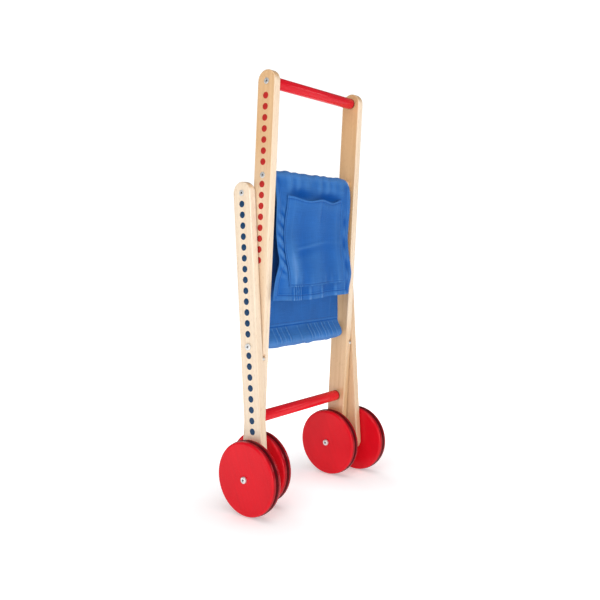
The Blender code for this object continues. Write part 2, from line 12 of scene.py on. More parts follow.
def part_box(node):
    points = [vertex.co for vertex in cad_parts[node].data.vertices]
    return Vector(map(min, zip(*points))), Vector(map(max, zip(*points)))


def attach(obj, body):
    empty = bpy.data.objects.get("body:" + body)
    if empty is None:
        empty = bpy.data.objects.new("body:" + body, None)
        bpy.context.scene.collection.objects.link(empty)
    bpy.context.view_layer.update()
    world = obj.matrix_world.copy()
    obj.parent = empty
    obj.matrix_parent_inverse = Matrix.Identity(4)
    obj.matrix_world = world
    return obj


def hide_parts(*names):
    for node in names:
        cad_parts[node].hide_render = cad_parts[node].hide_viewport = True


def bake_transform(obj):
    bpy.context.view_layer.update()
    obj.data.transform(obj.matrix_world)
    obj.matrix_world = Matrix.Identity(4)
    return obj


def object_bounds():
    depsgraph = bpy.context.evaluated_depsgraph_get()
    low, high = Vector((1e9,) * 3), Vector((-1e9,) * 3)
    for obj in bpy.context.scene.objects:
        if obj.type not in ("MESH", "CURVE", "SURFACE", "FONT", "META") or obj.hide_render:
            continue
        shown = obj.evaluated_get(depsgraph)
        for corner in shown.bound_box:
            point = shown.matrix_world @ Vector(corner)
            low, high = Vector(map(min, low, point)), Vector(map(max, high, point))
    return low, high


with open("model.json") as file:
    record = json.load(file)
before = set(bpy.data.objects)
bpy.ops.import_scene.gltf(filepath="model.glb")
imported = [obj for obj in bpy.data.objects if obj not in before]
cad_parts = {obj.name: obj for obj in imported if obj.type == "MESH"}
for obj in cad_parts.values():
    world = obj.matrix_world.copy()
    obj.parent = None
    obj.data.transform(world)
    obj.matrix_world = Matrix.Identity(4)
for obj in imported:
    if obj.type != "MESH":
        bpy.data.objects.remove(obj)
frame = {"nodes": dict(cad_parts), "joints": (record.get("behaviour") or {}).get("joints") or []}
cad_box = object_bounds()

# Camera: stands off the trolley's left rear at about the height of the bag, with a short telephoto
# lens. Its horizon lies a little above the middle of the picture, so the picture is shifted down.
camera_place = (-0.7634, -0.5982, 0.3370)
camera_turn = math.radians(51.703)
camera_dip = math.radians(1.829)
camera_lens = bpy.data.cameras.new("camera")
camera_lens.sensor_width = 36.0
camera_lens.lens = 42.19
camera_lens.shift_y = -0.0524
camera = bpy.data.objects.new("camera", camera_lens)
camera.location = camera_place
camera.rotation_euler = (math.pi / 2 - camera_dip, 0, -camera_turn)
bpy.context.scene.collection.objects.link(camera)
bpy.context.scene.camera = camera
bpy.context.scene.view_settings.view_transform = "Standard"

# Legs: four planed beech laths with round ends and eased edges under a clear satin lacquer.
# The long pair is screwed to the handle, crossbar and rear bag rod. The short pair lies outside it
# and turns on the two fold bolts.
mm = 0.001
sides = {"left": -1, "right": 1}
fold_joint = next(joint for joint in frame["joints"] if joint["name"] == "fold")
pivot_height = fold_joint["pos_m"][2]
leg_lean = math.radians(3.4)
leg_pairs = {"long": ("handle_frame", leg_lean), "short": ("short_frame", -leg_lean)}
leg_half_width = 14.25 * mm
x_axis, y_axis, z_axis = range(3)
# Painted sheen on a leg's rear edge is full up to the first of these distances in from the edge, and gone at
# the second.
sheen_start, sheen_end = 0.6 * mm, 2.2 * mm


def start_piece(piece):
    """Make a piece the only selected object, and the active one."""
    bpy.ops.object.select_all(action="DESELECT")
    piece.select_set(True)
    bpy.context.view_layer.objects.active = piece


def own_copy(model, name):
    """Copy of a piece, with a mesh of its own."""
    piece = bpy.data.objects.new(name, model.data.copy())
    bpy.context.scene.collection.objects.link(piece)
    return piece


def shaded(piece, limit=35, even=False):
    """Leave edit mode and shade a piece smoothly, up to an angle in degrees. Even shading goes by the size
    of its faces."""
    bpy.ops.object.mode_set(mode="OBJECT")
    bpy.ops.object.shade_smooth_by_angle(angle=math.radians(limit), keep_sharp_edges=False)
    if even:
        piece.modifiers.new("even_shading", "WEIGHTED_NORMAL").keep_sharp = True
        bpy.ops.object.modifier_apply(modifier="even_shading")


def smooth_copy(node, name):
    """Copy of a CAD node, welded and smoothly shaded, that takes the node's place."""
    piece = own_copy(frame["nodes"][node], name)
    start_piece(piece)
    bpy.ops.object.mode_set(mode="EDIT")
    bpy.ops.mesh.select_all(action="SELECT")
    bpy.ops.mesh.customdata_custom_splitnormals_clear()
    bpy.ops.mesh.remove_doubles(threshold=0.002 * mm)
    shaded(piece, even=True)
    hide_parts(node)
    return piece


def set_inputs(node, inputs):
    """Give each input of a shader node its value, or the output that feeds it."""
    for socket, value in inputs.items():
        if isinstance(value, bpy.types.NodeSocket):
            node.id_data.links.new(value, node.inputs[socket])
        else:
            node.inputs[socket].default_value = value


def add_node(kind, inputs, tree=None, **settings):
    """Add a shader node, with its settings and inputs, to the tree that feeds it if none is given."""
    fed_by = (value.id_data for value in inputs.values() if isinstance(value, bpy.types.NodeSocket))
    made = (tree or next(fed_by)).nodes.new(kind)
    for setting, value in settings.items():
        setattr(made, setting, value)
    set_inputs(made, inputs)
    return made


def effect(name, inputs, look):
    """Shader node group with named inputs. The look makes its nodes, and gives the colour, the roughness
    and the height that the group puts out."""
    outputs = {"Colour": "Color", "Roughness": "Float", "Height": "Float"}
    tree = bpy.data.node_groups.new(name, "ShaderNodeTree")
    for way, sockets in (("INPUT", inputs), ("OUTPUT", outputs)):
        for label, kind in sockets.items():
            tree.interface.new_socket(name=label, in_out=way, socket_type=f"NodeSocket{kind}")
    given, out = tree.nodes.new("NodeGroupInput"), tree.nodes.new("NodeGroupOutput")
    set_inputs(out, dict(zip(outputs, look(*(given.outputs[label] for label in inputs)))))
    return tree


def stretched_noise(place, stretch, detail, roughness=0.5):
    """Noise whose grains are set per axis, in repeats per metre."""
    scaled = add_node("ShaderNodeMapping", {"Vector": place, "Scale": stretch})
    noise = add_node("ShaderNodeTexNoise",
                     {"Vector": scaled.outputs[0], "Scale": 1.0, "Detail": detail, "Roughness": roughness})
    return noise.outputs["Fac"]


def spread(value, low, high, new_low=0.0, new_high=1.0):
    """Stretch a value between two limits, and clamp it."""
    limits = {"From Min": low, "From Max": high, "To Min": new_low, "To Max": new_high}
    return add_node("ShaderNodeMapRange", {"Value": value, **limits}).outputs[0]


def sums(operation, first, second):
    """Work two values together, the first of them an output."""
    return add_node("ShaderNodeMath", {0: first, 1: second}, operation=operation).outputs[0]


def mixed(factor, first, second, blend="MIX"):
    """Mix two colours."""
    inputs = {0: factor, 6: first, 7: second}
    return add_node("ShaderNodeMix", inputs, data_type="RGBA", blend_type=blend).outputs[2]


def beech_grain(place, paleness):
    """Growth streaks, slow changes of tone and the short dark flecks of beech, along Z."""
    pale = (0.78, 0.515, 0.275, 1)
    warm = (0.72, 0.44, 0.21, 1)
    late_wood = (0.60, 0.33, 0.14, 1)
    fleck_brown = (0.45, 0.23, 0.09, 1)
    # This pale colour is paler wood, and on the rear edges it is painted sheen.
    sapwood_and_sheen = (0.96, 0.87, 0.72, 1)
    tone = spread(stretched_noise(place, (30, 30, 2.5), 2.0), 0.3, 0.7)
    streak = spread(stretched_noise(place, (260, 260, 7), 4.0, 0.6), 0.32, 0.68)
    fine = spread(stretched_noise(place, (1100, 1100, 24), 2.0), 0.35, 0.65)
    fleck = spread(stretched_noise(place, (1400, 1400, 170), 1.0), 0.62, 0.72)
    streak_depth = spread(paleness, 0.0, 1.0, 0.55, 0.2)
    colour = mixed(paleness, mixed(tone, pale, warm), sapwood_and_sheen)
    for mark, depth, brown in ((streak, streak_depth, late_wood), (fine, 0.12, late_wood),
                               (fleck, 0.35, fleck_brown)):
        colour = mixed(sums("MULTIPLY", mark, depth), colour, brown)
    return colour, spread(streak, 0.0, 1.0, 0.36, 0.48), sums("SUBTRACT", streak, fleck)


beech_effect = effect("beech_grain", {"Along Grain": "Vector", "Paleness": "Float"}, beech_grain)


def new_material(name):
    """Material with a Principled shader. Gives the material, its tree and its shader."""
    made = bpy.data.materials.new(name)
    made.use_nodes = True
    return made, made.node_tree, made.node_tree.nodes["Principled BSDF"]


def own_place(tree, turn=(0, 0, 0), move=(0, 0, 0)):
    """A piece's own coordinates in metres, turned and moved for its grain."""
    place = add_node("ShaderNodeTexCoord", {}, tree).outputs["Object"]
    return add_node("ShaderNodeMapping", {"Vector": place, "Rotation": turn, "Location": move}).outputs[0]


def feed(shader, look, inputs, bump_height, constants):
    """Let an effect drive a shader's colour, roughness and bump, and set its other sockets."""
    group = add_node("ShaderNodeGroup", inputs, node_tree=look)
    bump = add_node("ShaderNodeBump", {"Height": group.outputs["Height"], "Distance": bump_height})
    set_inputs(shader, {"Base Color": group.outputs["Colour"], "Roughness": group.outputs["Roughness"],
                        "Normal": bump.outputs[0], **constants})


def lacquered_beech(name, turn, move, paleness, sapwood_and_sheen=()):
    """Lacquered beech. A paler strip lies where all its rows are high: paler wood, or painted sheen on a
    rear edge. A row gives an axis of the turned piece, two places along it and the paleness at each."""
    made, tree, shader = new_material(name)
    along_piece = add_node("ShaderNodeSeparateXYZ", {"Vector": own_place(tree, turn)})
    for strip in sapwood_and_sheen:
        paler = 1.0
        for axis, start, end, at_start, at_end in strip:
            row = spread(along_piece.outputs[axis], start, end, at_start, at_end)
            paler = sums("MULTIPLY", row, paler)
        paleness = sums("MAXIMUM", paler, paleness)
    feed(shader, beech_effect, {"Along Grain": own_place(tree, turn, move), "Paleness": paleness},
         0.03 * mm, {"Specular IOR Level": 0.5, "Coat Weight": 0.9, "Coat Roughness": 0.3})
    return made


def dress(piece, look, body):
    """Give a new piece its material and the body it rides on."""
    piece.data.materials.clear()
    piece.data.materials.append(look)
    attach(piece, body)


def rear_edge_sheen(shift, paleness):
    """Row of painted sheen, a painted highlight of the lacquer, on a leg's rear edge, which the turn of its
    grain moves by a shift.
    """
    edge = shift - leg_half_width
    return (y_axis, edge + sheen_start, edge + sheen_end, paleness, 0.0)


# Painted sheen: how pale the rear edges of the long and the short legs are painted.
edge_shift = pivot_height * math.sin(leg_lean)
long_edge_sheen, short_edge_sheen = rear_edge_sheen(edge_shift, 0.6), rear_edge_sheen(-edge_shift, 1.0)
leg_paleness = {"long": 0.02, "short": 0.25}
# Each strip multiplies its rows. Rows from rear_edge_sheen are painted sheen on a rear edge; the other strips
# make the wood paler below about 400 mm on the left long leg and over the outer face of the left short leg.
pale_and_sheen_strips = {
    "left_long_leg": [[long_edge_sheen], [(z_axis, 470 * mm, 390 * mm, 0.0, 0.55)]],
    "right_long_leg": [[long_edge_sheen, (z_axis, 235 * mm, 205 * mm, 1.0, 0.1)]],
    "left_short_leg": [[short_edge_sheen, (z_axis, 400 * mm, 110 * mm, 1.0, 0.45)],
                       [(x_axis, -107.5 * mm, -110.6 * mm, 0.0, 0.74)]],
    "right_short_leg": []}
cut_from = {"left_long_leg": (0.31, 0.12, 0.0), "right_long_leg": (0.78, 0.12, 0.9),
            "left_short_leg": (0.77, 0.26, 2.3), "right_short_leg": (1.30, 0.26, 3.0)}
for side in sides:
    for pair, (body, lean) in leg_pairs.items():
        leg = f"{side}_{pair}_leg"
        beech = lacquered_beech(f"{leg}_beech", (-lean, 0, 0), cut_from[leg], leg_paleness[pair],
                                pale_and_sheen_strips[leg])
        dress(smooth_copy(f"{pair}_leg_{side}", leg), beech, body)

# Dots: rows of round paint dots printed on the outer faces of the legs, red on the long pair and
# blue on the short pair, evenly spaced and left out where a screw or the fold bolt comes through.
dot_radius = 4.25 * mm
dot_film = 0.12 * mm
dot_sunk = 0.06 * mm
dot_pitch = 13.7 * mm
dot_steps = 32
along_x = (0, math.pi / 2, 0)
dot_prints = {"long": ("red", (0.47, 0.026, 0.024, 1), [(315.2 * mm, 7, -1), (205.1 * mm, 8, -1)]),
              "short": ("blue", (0.013, 0.050, 0.120, 1), [(15.9 * mm, 13, 1), (-11.3 * mm, 8, -1)])}


def primitive(add, edit=True, **sizes):
    """Add one of Blender's primitives, apply its place to its mesh and open it for editing."""
    bpy.ops.object.select_all(action="DESELECT")
    add(**sizes)
    bpy.ops.object.transform_apply(location=True, rotation=True, scale=True)
    if edit:
        bpy.ops.object.mode_set(mode="EDIT")
    return bpy.context.object


def cylinder_along_x(name, steps, radius, length, centre=(0, 0, 0)):
    """New cylinder along X, open for editing."""
    piece = primitive(bpy.ops.mesh.primitive_cylinder_add, vertices=steps, radius=radius, depth=length,
                      location=centre, rotation=along_x)
    piece.name = piece.data.name = name
    return piece


def pick(piece, kind, test):
    """In edit mode, select only the vertices, edges or faces that pass a test."""
    bpy.ops.mesh.select_mode(type=kind)
    bpy.ops.mesh.select_all(action="DESELECT")
    shape = bmesh.from_edit_mesh(piece.data)
    for element in {"VERT": shape.verts, "EDGE": shape.edges, "FACE": shape.faces}[kind]:
        element.select_set(bool(test(element)))
    shape.select_flush_mode()
    bmesh.update_edit_mesh(piece.data)


def placed_copy(model, name, matrix):
    """Copy of a modelled piece, with its place in its mesh."""
    piece = own_copy(model, name)
    piece.data.transform(matrix)
    return piece


def joined(name, pieces):
    """Join pieces into one."""
    start_piece(pieces[0])
    for piece in pieces:
        piece.select_set(True)
    bpy.ops.object.join()
    pieces[0].name = pieces[0].data.name = name
    return pieces[0]


def outer_end(node, facing):
    """Where a node ends along X, on the side that it faces."""
    low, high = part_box(node)
    return high[0] if facing > 0 else low[0]


def tinted(colour, shade):
    """Multiply a colour by a value."""
    grey = add_node("ShaderNodeCombineColor", {0: shade, 1: shade, 2: shade}).outputs[0]
    return mixed(1.0, colour, grey, "MULTIPLY")


def paint_film(place, colour):
    """Sprayed paint on sanded wood: a faint grain, a fine stipple and slow changes of depth."""
    grain = stretched_noise(place, (320, 320, 12), 3.0)
    stipple = stretched_noise(place, (700, 700, 700), 2.0)
    depth = spread(stretched_noise(place, (34, 34, 20), 2.0), 0.3, 0.7, 0.93, 1.03)
    shade = sums("ADD", depth, spread(grain, 0.3, 0.7, -0.03, 0.03))
    roughness = spread(stipple, 0.3, 0.7, 0.22, 0.30)
    return tinted(colour, shade), roughness, sums("ADD", grain, stipple)


paint_effect = effect("paint_film", {"Along Grain": "Vector", "Colour": "Color"}, paint_film)


def painted(name, colour, turn=(0, 0, 0), move=(0, 0, 0), painted_shade=None):
    """Painted wood. Painted shade is given by a centre, the axes to measure along from it, the two
    distances between which the paint darkens, and its colour from there on."""
    made, tree, shader = new_material(name)
    if painted_shade:
        centre, axes, start, end, shade_colour = painted_shade
        measured = add_node("ShaderNodeVectorMath", {0: own_place(tree), 1: axes}, operation="MULTIPLY")
        distance = add_node("ShaderNodeVectorMath", {0: measured.outputs[0], 1: centre},
                            operation="DISTANCE")
        colour = mixed(spread(distance.outputs["Value"], start, end), colour, shade_colour)
    feed(shader, paint_effect, {"Along Grain": own_place(tree, turn, move), "Colour": colour},
         0.012 * mm, {"Specular IOR Level": 0.04, "Coat Weight": 0.25, "Coat Roughness": 0.12})
    return made


dot_model = cylinder_along_x("dot_model", dot_steps, dot_radius, dot_film)
pick(dot_model, "EDGE", lambda edge: all(vert.co.x > 0 for vert in edge.verts))
bpy.ops.mesh.bevel(offset=0.4 * dot_film, segments=2)
shaded(dot_model)
for pair, (colour, paint, runs) in dot_prints.items():
    body, lean = leg_pairs[pair]
    dot_paint = painted(f"{colour}_dot_paint", paint)
    along_leg = Matrix.Translation((0, 0, pivot_height)) @ Matrix.Rotation(lean, 4, "X")
    heights = [first + way * step * dot_pitch for first, count, way in runs for step in range(count)]
    for side, sign in sides.items():
        out = outer_end(f"{pair}_leg_{side}", sign) + sign * (dot_film / 2 - dot_sunk)
        turn = Matrix.Rotation(math.pi if sign < 0 else 0.0, 4, "Z")
        dots = [placed_copy(dot_model, "dot", along_leg @ Matrix.Translation((out, 0, up)) @ turn)
                for up in heights]
        dress(joined(f"{side}_{pair}_leg_dots", dots), dot_paint, body)
bpy.data.objects.remove(dot_model)

# Rods: turned dowels that butt on the legs' inner faces. The handle and the crossbar are painted red,
# with painted shade where they meet the legs, and the two that carry the bag stay plain beech in their
# sleeves.
rod_steps = 72
rod_edge_round = 0.8 * mm
rod_reach = outer_end("handle_rod", 1)
# Painted shade where a rod meets a leg: the red darkens over the last few millimetres of each end.
joint_shade_red = (0.16, 0.003, 0.005, 1)
joint_shade_line = ((0, 0, 0), (1, 0, 0), rod_reach - 3.0 * mm, rod_reach - 1.6 * mm, joint_shade_red)
# Painted shade and light: the handle's red is darker and the crossbar's lighter than the wheels' red, as
# shaded and lit copies of one paint.
rod_reds_lit_and_shaded = {"handle": (0.64, 0.008, 0.019, 1), "crossbar": (0.82, 0.012, 0.023, 1)}


def middle_and_half(node):
    """The middle of a node's box, and its half sizes."""
    low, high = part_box(node)
    return [(a + b) / 2 for a, b in zip(low, high)], [(b - a) / 2 for a, b in zip(low, high)]


def dowel(node, name):
    """Turned rod with rounded ends that takes a CAD node's place."""
    centre, half = middle_and_half(node)
    piece = cylinder_along_x(name, rod_steps, half[2], 2 * half[0], centre)
    pick(piece, "EDGE", lambda edge: abs(edge.verts[0].co.x - edge.verts[1].co.x) < half[0])
    bpy.ops.mesh.bevel(offset=rod_edge_round, segments=3)
    shaded(piece)
    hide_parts(node)
    return piece


for node, rod in (("handle_rod", "handle"), ("crossbar", "crossbar")):
    rod_paint = painted(f"{node}_paint", rod_reds_lit_and_shaded[rod], along_x, painted_shade=joint_shade_line)
    dress(dowel(node, f"{rod}_dowel"), rod_paint, "handle_frame")
rod_beech = lacquered_beech("rod_beech", along_x, (0.4, 0.9, 0.2), 0.3)
dress(dowel("rear_bag_rod", "rear_bag_dowel"), rod_beech, "handle_frame")
dress(dowel("front_bag_rod", "front_bag_dowel"), rod_beech, "short_frame")

# Screws and bolts: zinc-plated steel with cross recesses. Countersunk screws hold the rods, flush with
# the legs, and round-headed ones hold the wheels and join the two pairs of legs at the fold.
recess_span = 5.2 * mm
recess_width = 1.5 * mm
recess_depth = 1.7 * mm
recess_taper = (0.45, 0.7, 1.0)
# Painted shade in the cross recesses: the depths below the head's top, and the reach from the axis, where the
# zinc is painted dark.
recess_shade_top, recess_shade_bottom = 0.3 * recess_depth, 1.2 * recess_depth
recess_shade_reach = 0.3 * recess_span
screw_steps = 32
screw_turns = {"handle_screw": 0.5, "crossbar_screw": 0.2, "rear_rod_screw": 0.9, "front_rod_screw": 0.35}


def zinc_plate(place, recess):
    """Fine crystals and dull patches of zinc plating, with painted shade in the recesses."""
    bright = (0.90, 0.90, 0.88, 1)
    dull = (0.72, 0.73, 0.74, 1)
    # Painted shade: the recesses are painted near black.
    recess_shade_colour = (0.03, 0.03, 0.03, 1)
    crystal = stretched_noise(place, (2600, 2600, 2600), 2.0)
    patch = stretched_noise(place, (420, 420, 420), 3.0)
    plate = mixed(spread(patch, 0.35, 0.65), bright, dull)
    return mixed(recess, plate, recess_shade_colour), spread(crystal, 0.3, 0.7, 0.45, 0.62), crystal


zinc_steel, zinc_tree, zinc_shader = new_material("zinc_plated_steel")
zinc_effect = effect("zinc_plate", {"Place": "Vector", "Recess": "Float"}, zinc_plate)
# The recess attribute marks where the zinc gets painted shade.
recess_shade_map = add_node("ShaderNodeAttribute", {}, zinc_tree, attribute_name="recess").outputs["Fac"]
feed(zinc_shader, zinc_effect, {"Place": own_place(zinc_tree), "Recess": recess_shade_map}, 0.01 * mm,
     {"Metallic": 1.0})


def cut_recess(screw, top):
    """Cut two crossed slots with tapered walls into a screw's head, and mark the points in them for painted
    shade.
    """
    for turn in (0.0, math.pi / 2):
        arm = primitive(bpy.ops.mesh.primitive_cube_add, size=1.0,
                        scale=(recess_span, recess_width, 2 * recess_depth))
        pick(arm, "VERT", lambda vert: vert.co.z < 0)
        bpy.ops.transform.resize(value=recess_taper)
        bpy.ops.object.mode_set(mode="OBJECT")
        arm.data.transform(Matrix.Rotation(turn, 4, "Z"))
        arm.data.transform(Matrix.Translation((0, 0, top)))
        start_piece(screw)
        slot = screw.modifiers.new("slot", "BOOLEAN")
        slot.operation = "DIFFERENCE"
        slot.solver = "EXACT"
        slot.object = arm
        bpy.ops.object.modifier_apply(modifier="slot")
        bpy.data.objects.remove(arm)
    shaded(screw)
    # Mark the points deep in the recess for painted shade.
    recess = screw.data.attributes.new("recess", "FLOAT", "POINT")
    for vert, sunk in zip(screw.data.vertices, recess.data):
        inside = recess_shade_top < top - vert.co.z < recess_shade_bottom
        sunk.value = float(inside and math.hypot(vert.co.x, vert.co.y) < recess_shade_reach)


def extrude_end(screw, height, length, taper=1.0):
    """Draw the flat end at a height out downwards, and narrow it."""
    def is_end(face):
        return face.normal.z < -0.9 and abs(face.calc_center_median().z - height) < 0.05 * mm

    pick(screw, "FACE", is_end)
    bpy.ops.mesh.extrude_region_move(TRANSFORM_OT_translate={"value": (0, 0, -length)})
    bpy.ops.transform.resize(value=(taper, taper, 1.0), center_override=(0, 0, height - length))


def round_top(screw, height, size, segments):
    """Round off the edge of a head's top, leave edit mode and cut the recess."""
    pick(screw, "EDGE", lambda edge: all(vert.co.z > height - 0.01 * mm for vert in edge.verts))
    bpy.ops.mesh.bevel(offset=size, segments=segments)
    bpy.ops.object.mode_set(mode="OBJECT")
    cut_recess(screw, height)
    return screw


def countersunk_screw(head_radius, head_depth, shank_radius, length, point):
    """Screw whose flat head is flush at height 0."""
    screw = primitive(bpy.ops.mesh.primitive_cone_add, vertices=screw_steps, radius1=shank_radius,
                      radius2=head_radius, depth=head_depth, location=(0, 0, -head_depth / 2))
    extrude_end(screw, -head_depth, length - head_depth - point)
    extrude_end(screw, -length + point, point, 0.1)
    return round_top(screw, 0.0, 0.25 * mm, 2)


def round_head_screw(head_radius, head_height, shank_radius, length):
    """Screw whose head stands on the face at height 0."""
    screw = primitive(bpy.ops.mesh.primitive_cylinder_add, vertices=screw_steps, radius=head_radius,
                      depth=head_height, location=(0, 0, head_height / 2))
    pick(screw, "FACE", lambda face: face.normal.z < -0.9)
    bpy.ops.mesh.inset(thickness=head_radius - shank_radius)
    bpy.ops.mesh.extrude_region_move(TRANSFORM_OT_translate={"value": (0, 0, -length)})
    return round_top(screw, head_height, 0.45 * head_height, 5)


def place_screw(model, node, name, facing, head_height, turn, body):
    """Copy a screw to its CAD node's place. The head height is what stands over its seat."""
    seat = outer_end(node, facing) - facing * head_height
    y, z = middle_and_half(node)[0][1:]
    stand = Matrix.Translation((seat, y, z)) @ Matrix.Rotation(facing * math.pi / 2, 4, "Y")
    piece = placed_copy(model, name, stand @ Matrix.Rotation(turn, 4, "Z"))
    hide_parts(node)
    dress(piece, zinc_steel, body)


rod_screw = countersunk_screw(head_radius=4.0 * mm, head_depth=2.2 * mm, shank_radius=1.8 * mm,
                              length=34.0 * mm, point=4.0 * mm)
wheel_head = 3.0 * mm
wheel_screw = round_head_screw(4.3 * mm, wheel_head, shank_radius=2.5 * mm, length=27.5 * mm)
bolt_head = 1.8 * mm
fold_bolt = round_head_screw(4.3 * mm, bolt_head, shank_radius=2.5 * mm, length=22.8 * mm)
for side, sign in sides.items():
    for use, turn in screw_turns.items():
        body = "short_frame" if use == "front_rod_screw" else "handle_frame"
        place_screw(rod_screw, f"{use}_{side}", f"{side}_{use}", sign, 0.0, turn + sign, body)
    place_screw(fold_bolt, f"pivot_bolt_{side}", f"{side}_fold_bolt", sign, bolt_head, 0.3, "handle_frame")
    for end, facing, turn, body in (("front", -sign, 0.7, "handle_frame"),
                                    ("rear", sign, 0.25, "short_frame")):
        place_screw(wheel_screw, f"{end}_wheel_{side}_axle", f"{end}_{side}_wheel_screw", facing, wheel_head,
                    turn, body)
    for node in (f"pivot_nut_{side}", f"stop_pin_{side}"):
        frame["nodes"][node].data.materials[0] = zinc_steel
for model in (rod_screw, wheel_screw, fold_bolt):
    bpy.data.objects.remove(model)

# Washers: plain nylon rings, one between the legs at each fold bolt, one under each lock nut and one
# behind each wheel, so that nothing rubs on the lacquer.
clear_nylon, cloudy_nylon = (0.80, 0.78, 0.72, 1), (0.68, 0.66, 0.60, 1)


def two_tone(name, stretch, detail, first, second, roughness):
    """Material that changes softly between two colours, and with them between two roughnesses."""
    made, tree, shader = new_material(name)
    tone = stretched_noise(own_place(tree), stretch, detail)
    set_inputs(shader, {"Base Color": mixed(tone, first, second),
                        "Roughness": spread(tone, 0.3, 0.7, *roughness)})
    return made


nylon = two_tone("natural_nylon", (600, 600, 600), 2.0, clear_nylon, cloudy_nylon, (0.4, 0.55))
for side in sides:
    for node in (f"pivot_washer_{side}", f"nut_washer_{side}", f"front_wheel_{side}_spacer",
                 f"rear_wheel_{side}_spacer"):
        frame["nodes"][node].data.materials[0] = nylon

# Wheels: four thick discs of wood, turned, eased at the rim and sprayed red, with painted shade on the rim
# beside the groove that holds the rubber band. They turn on their screws.
wheel_edge_round = 3.6 * mm
wheel_bore = 2.8 * mm
groove_half_width = 2.5 * mm
groove_floor = 44.4 * mm
rim_steps = 112
signal_red = (0.76, 0.008, 0.019, 1)
# Painted shade on the rims: the red darkens between these two distances from the axle.
rim_shade_red = (0.30, 0.003, 0.009, 1)
rim_shade_radii = (46.1 * mm, 47.0 * mm)
wheels = [(end, side) for end in ("front", "rear") for side in sides]


def from_axle(point, centre):
    return math.hypot(point.y - centre[1], point.z - centre[2])


def ring(name, centre, radius, inner_radius, width):
    """Thick ring about an axle along X, drawn from a cylinder whose faces are opened and bridged."""
    piece = cylinder_along_x(name, rim_steps, radius, width, centre)
    pick(piece, "FACE", lambda face: abs(face.normal.x) > 0.9)
    bpy.ops.mesh.inset(thickness=radius - inner_radius, use_individual=True)
    bpy.ops.mesh.delete(type="FACE")
    bore = inner_radius + 0.05 * mm
    pick(piece, "EDGE", lambda edge: all(from_axle(vert.co, centre) < bore for vert in edge.verts))
    bpy.ops.mesh.bridge_edge_loops()
    return piece


def finish_ring(piece, centre, radius, half_width, size, segments):
    """Round off the two outer edges of a ring, and shade it."""
    def on_rim(vert):
        at_side = abs(abs(vert.co.x - centre[0]) - half_width) < 0.01 * mm
        return at_side and from_axle(vert.co, centre) > radius - 0.05 * mm

    pick(piece, "EDGE", lambda edge: all(on_rim(vert) for vert in edge.verts))
    bpy.ops.mesh.bevel(offset=size, segments=segments)
    bpy.ops.mesh.select_all(action="SELECT")
    bpy.ops.mesh.normals_make_consistent(inside=False)
    shaded(piece, even=True)


def wheel_disc(node, name):
    """Disc with a bore, a groove round its rim and rounded edges."""
    centre, half = middle_and_half(node)
    radius = half[1]
    disc = ring(name, centre, radius, wheel_bore, 2 * half[0])
    for groove_edge in (-groove_half_width, groove_half_width):
        bpy.ops.mesh.select_all(action="SELECT")
        bpy.ops.mesh.bisect(plane_co=(centre[0] + groove_edge, 0, 0), plane_no=(1, 0, 0))

    def in_groove(face):
        middle = face.calc_center_median()
        return abs(middle.x - centre[0]) < groove_half_width and from_axle(middle, centre) > 0.9 * radius

    pick(disc, "FACE", in_groove)
    narrower = groove_floor / radius
    bpy.ops.mesh.extrude_region_move(TRANSFORM_OT_translate={"value": (0, 0, 0)})
    bpy.ops.transform.resize(value=(1.0, narrower, narrower), center_override=centre)
    finish_ring(disc, centre, radius, half[0], wheel_edge_round, 6)
    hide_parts(node)
    return disc


for end, side in wheels:
    node, body = f"{end}_wheel_{side}", f"{end}_{side}_wheel"
    grain_start = (0.2 * len(body), 0.1, 0.3 if side == "left" else 0.8)
    axle = (0, *middle_and_half(node)[0][1:])
    wheel_paint = painted(f"{body}_paint", signal_red, (0.4, 0, 0), grain_start,
                          (axle, (0, 1, 1), *rim_shade_radii, rim_shade_red))
    dress(wheel_disc(node, f"{body}_disc"), wheel_paint, body)

# Rubber bands: moulded black rubber, one stretched into the groove of each wheel. It stands a little
# proud of the rim, and is dull where it has rolled.
band_edge_round = 1.1 * mm
band_play = 0.05 * mm
band_seat = groove_floor + 0.2 * mm
clean_rubber, dusty_rubber = (0.085, 0.001, 0.003, 1), (0.125, 0.004, 0.008, 1)
rubber, rubber_tree, rubber_shader = new_material("black_rubber")
rubber_place = own_place(rubber_tree)
dust = spread(stretched_noise(rubber_place, (240, 240, 240), 4.0), 0.45, 0.75)
pores = stretched_noise(rubber_place, (1800, 1800, 1800), 2.0)
rubber_bump = add_node("ShaderNodeBump", {"Height": pores, "Distance": 0.02 * mm})
set_inputs(rubber_shader, {"Base Color": mixed(dust, clean_rubber, dusty_rubber),
                           "Roughness": spread(dust, 0.0, 1.0, 0.45, 0.65),
                           "Normal": rubber_bump.outputs[0], "Specular IOR Level": 0.04})
for end, side in wheels:
    node, body = f"{end}_wheel_{side}_tyre", f"{end}_{side}_wheel"
    centre, half = middle_and_half(node)
    half_width = groove_half_width - band_play
    band = ring(f"{body}_band", centre, half[1], band_seat, 2 * half_width)
    finish_ring(band, centre, half[1], half_width, band_edge_round, 4)
    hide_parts(node)
    dress(band, rubber, body)

# Flap: a hemmed piece of blue cotton that hangs from the rear bag rod on the child's side. It is
# gathered over the rod, and puckered where its side and bottom hems are sewn.
rear_rod, rear_rod_half = middle_and_half("rear_bag_rod")
cloth_thickness = 0.8 * mm
cloth_gap = 0.9 * mm
sleeve_radius = rear_rod_half[2] + cloth_gap
sleeve_tail = 12.0 * mm
flap_drop = rear_rod[2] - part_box("pocket_flap")[0][2]
sleeve_arc = math.pi * sleeve_radius
flap_length = sleeve_tail + sleeve_arc + flap_drop
flap_width = 168.0 * mm
side_hem = 9.0 * mm
bottom_hem = 7.6 * mm
hem_rise = 0.6 * mm
seam_sink = 0.7 * mm
hem_fold = (0.92, 1.08)
hem_seam, hem_seam_width = 0.86, 0.11
hem_from = (2 * mm, 12 * mm)


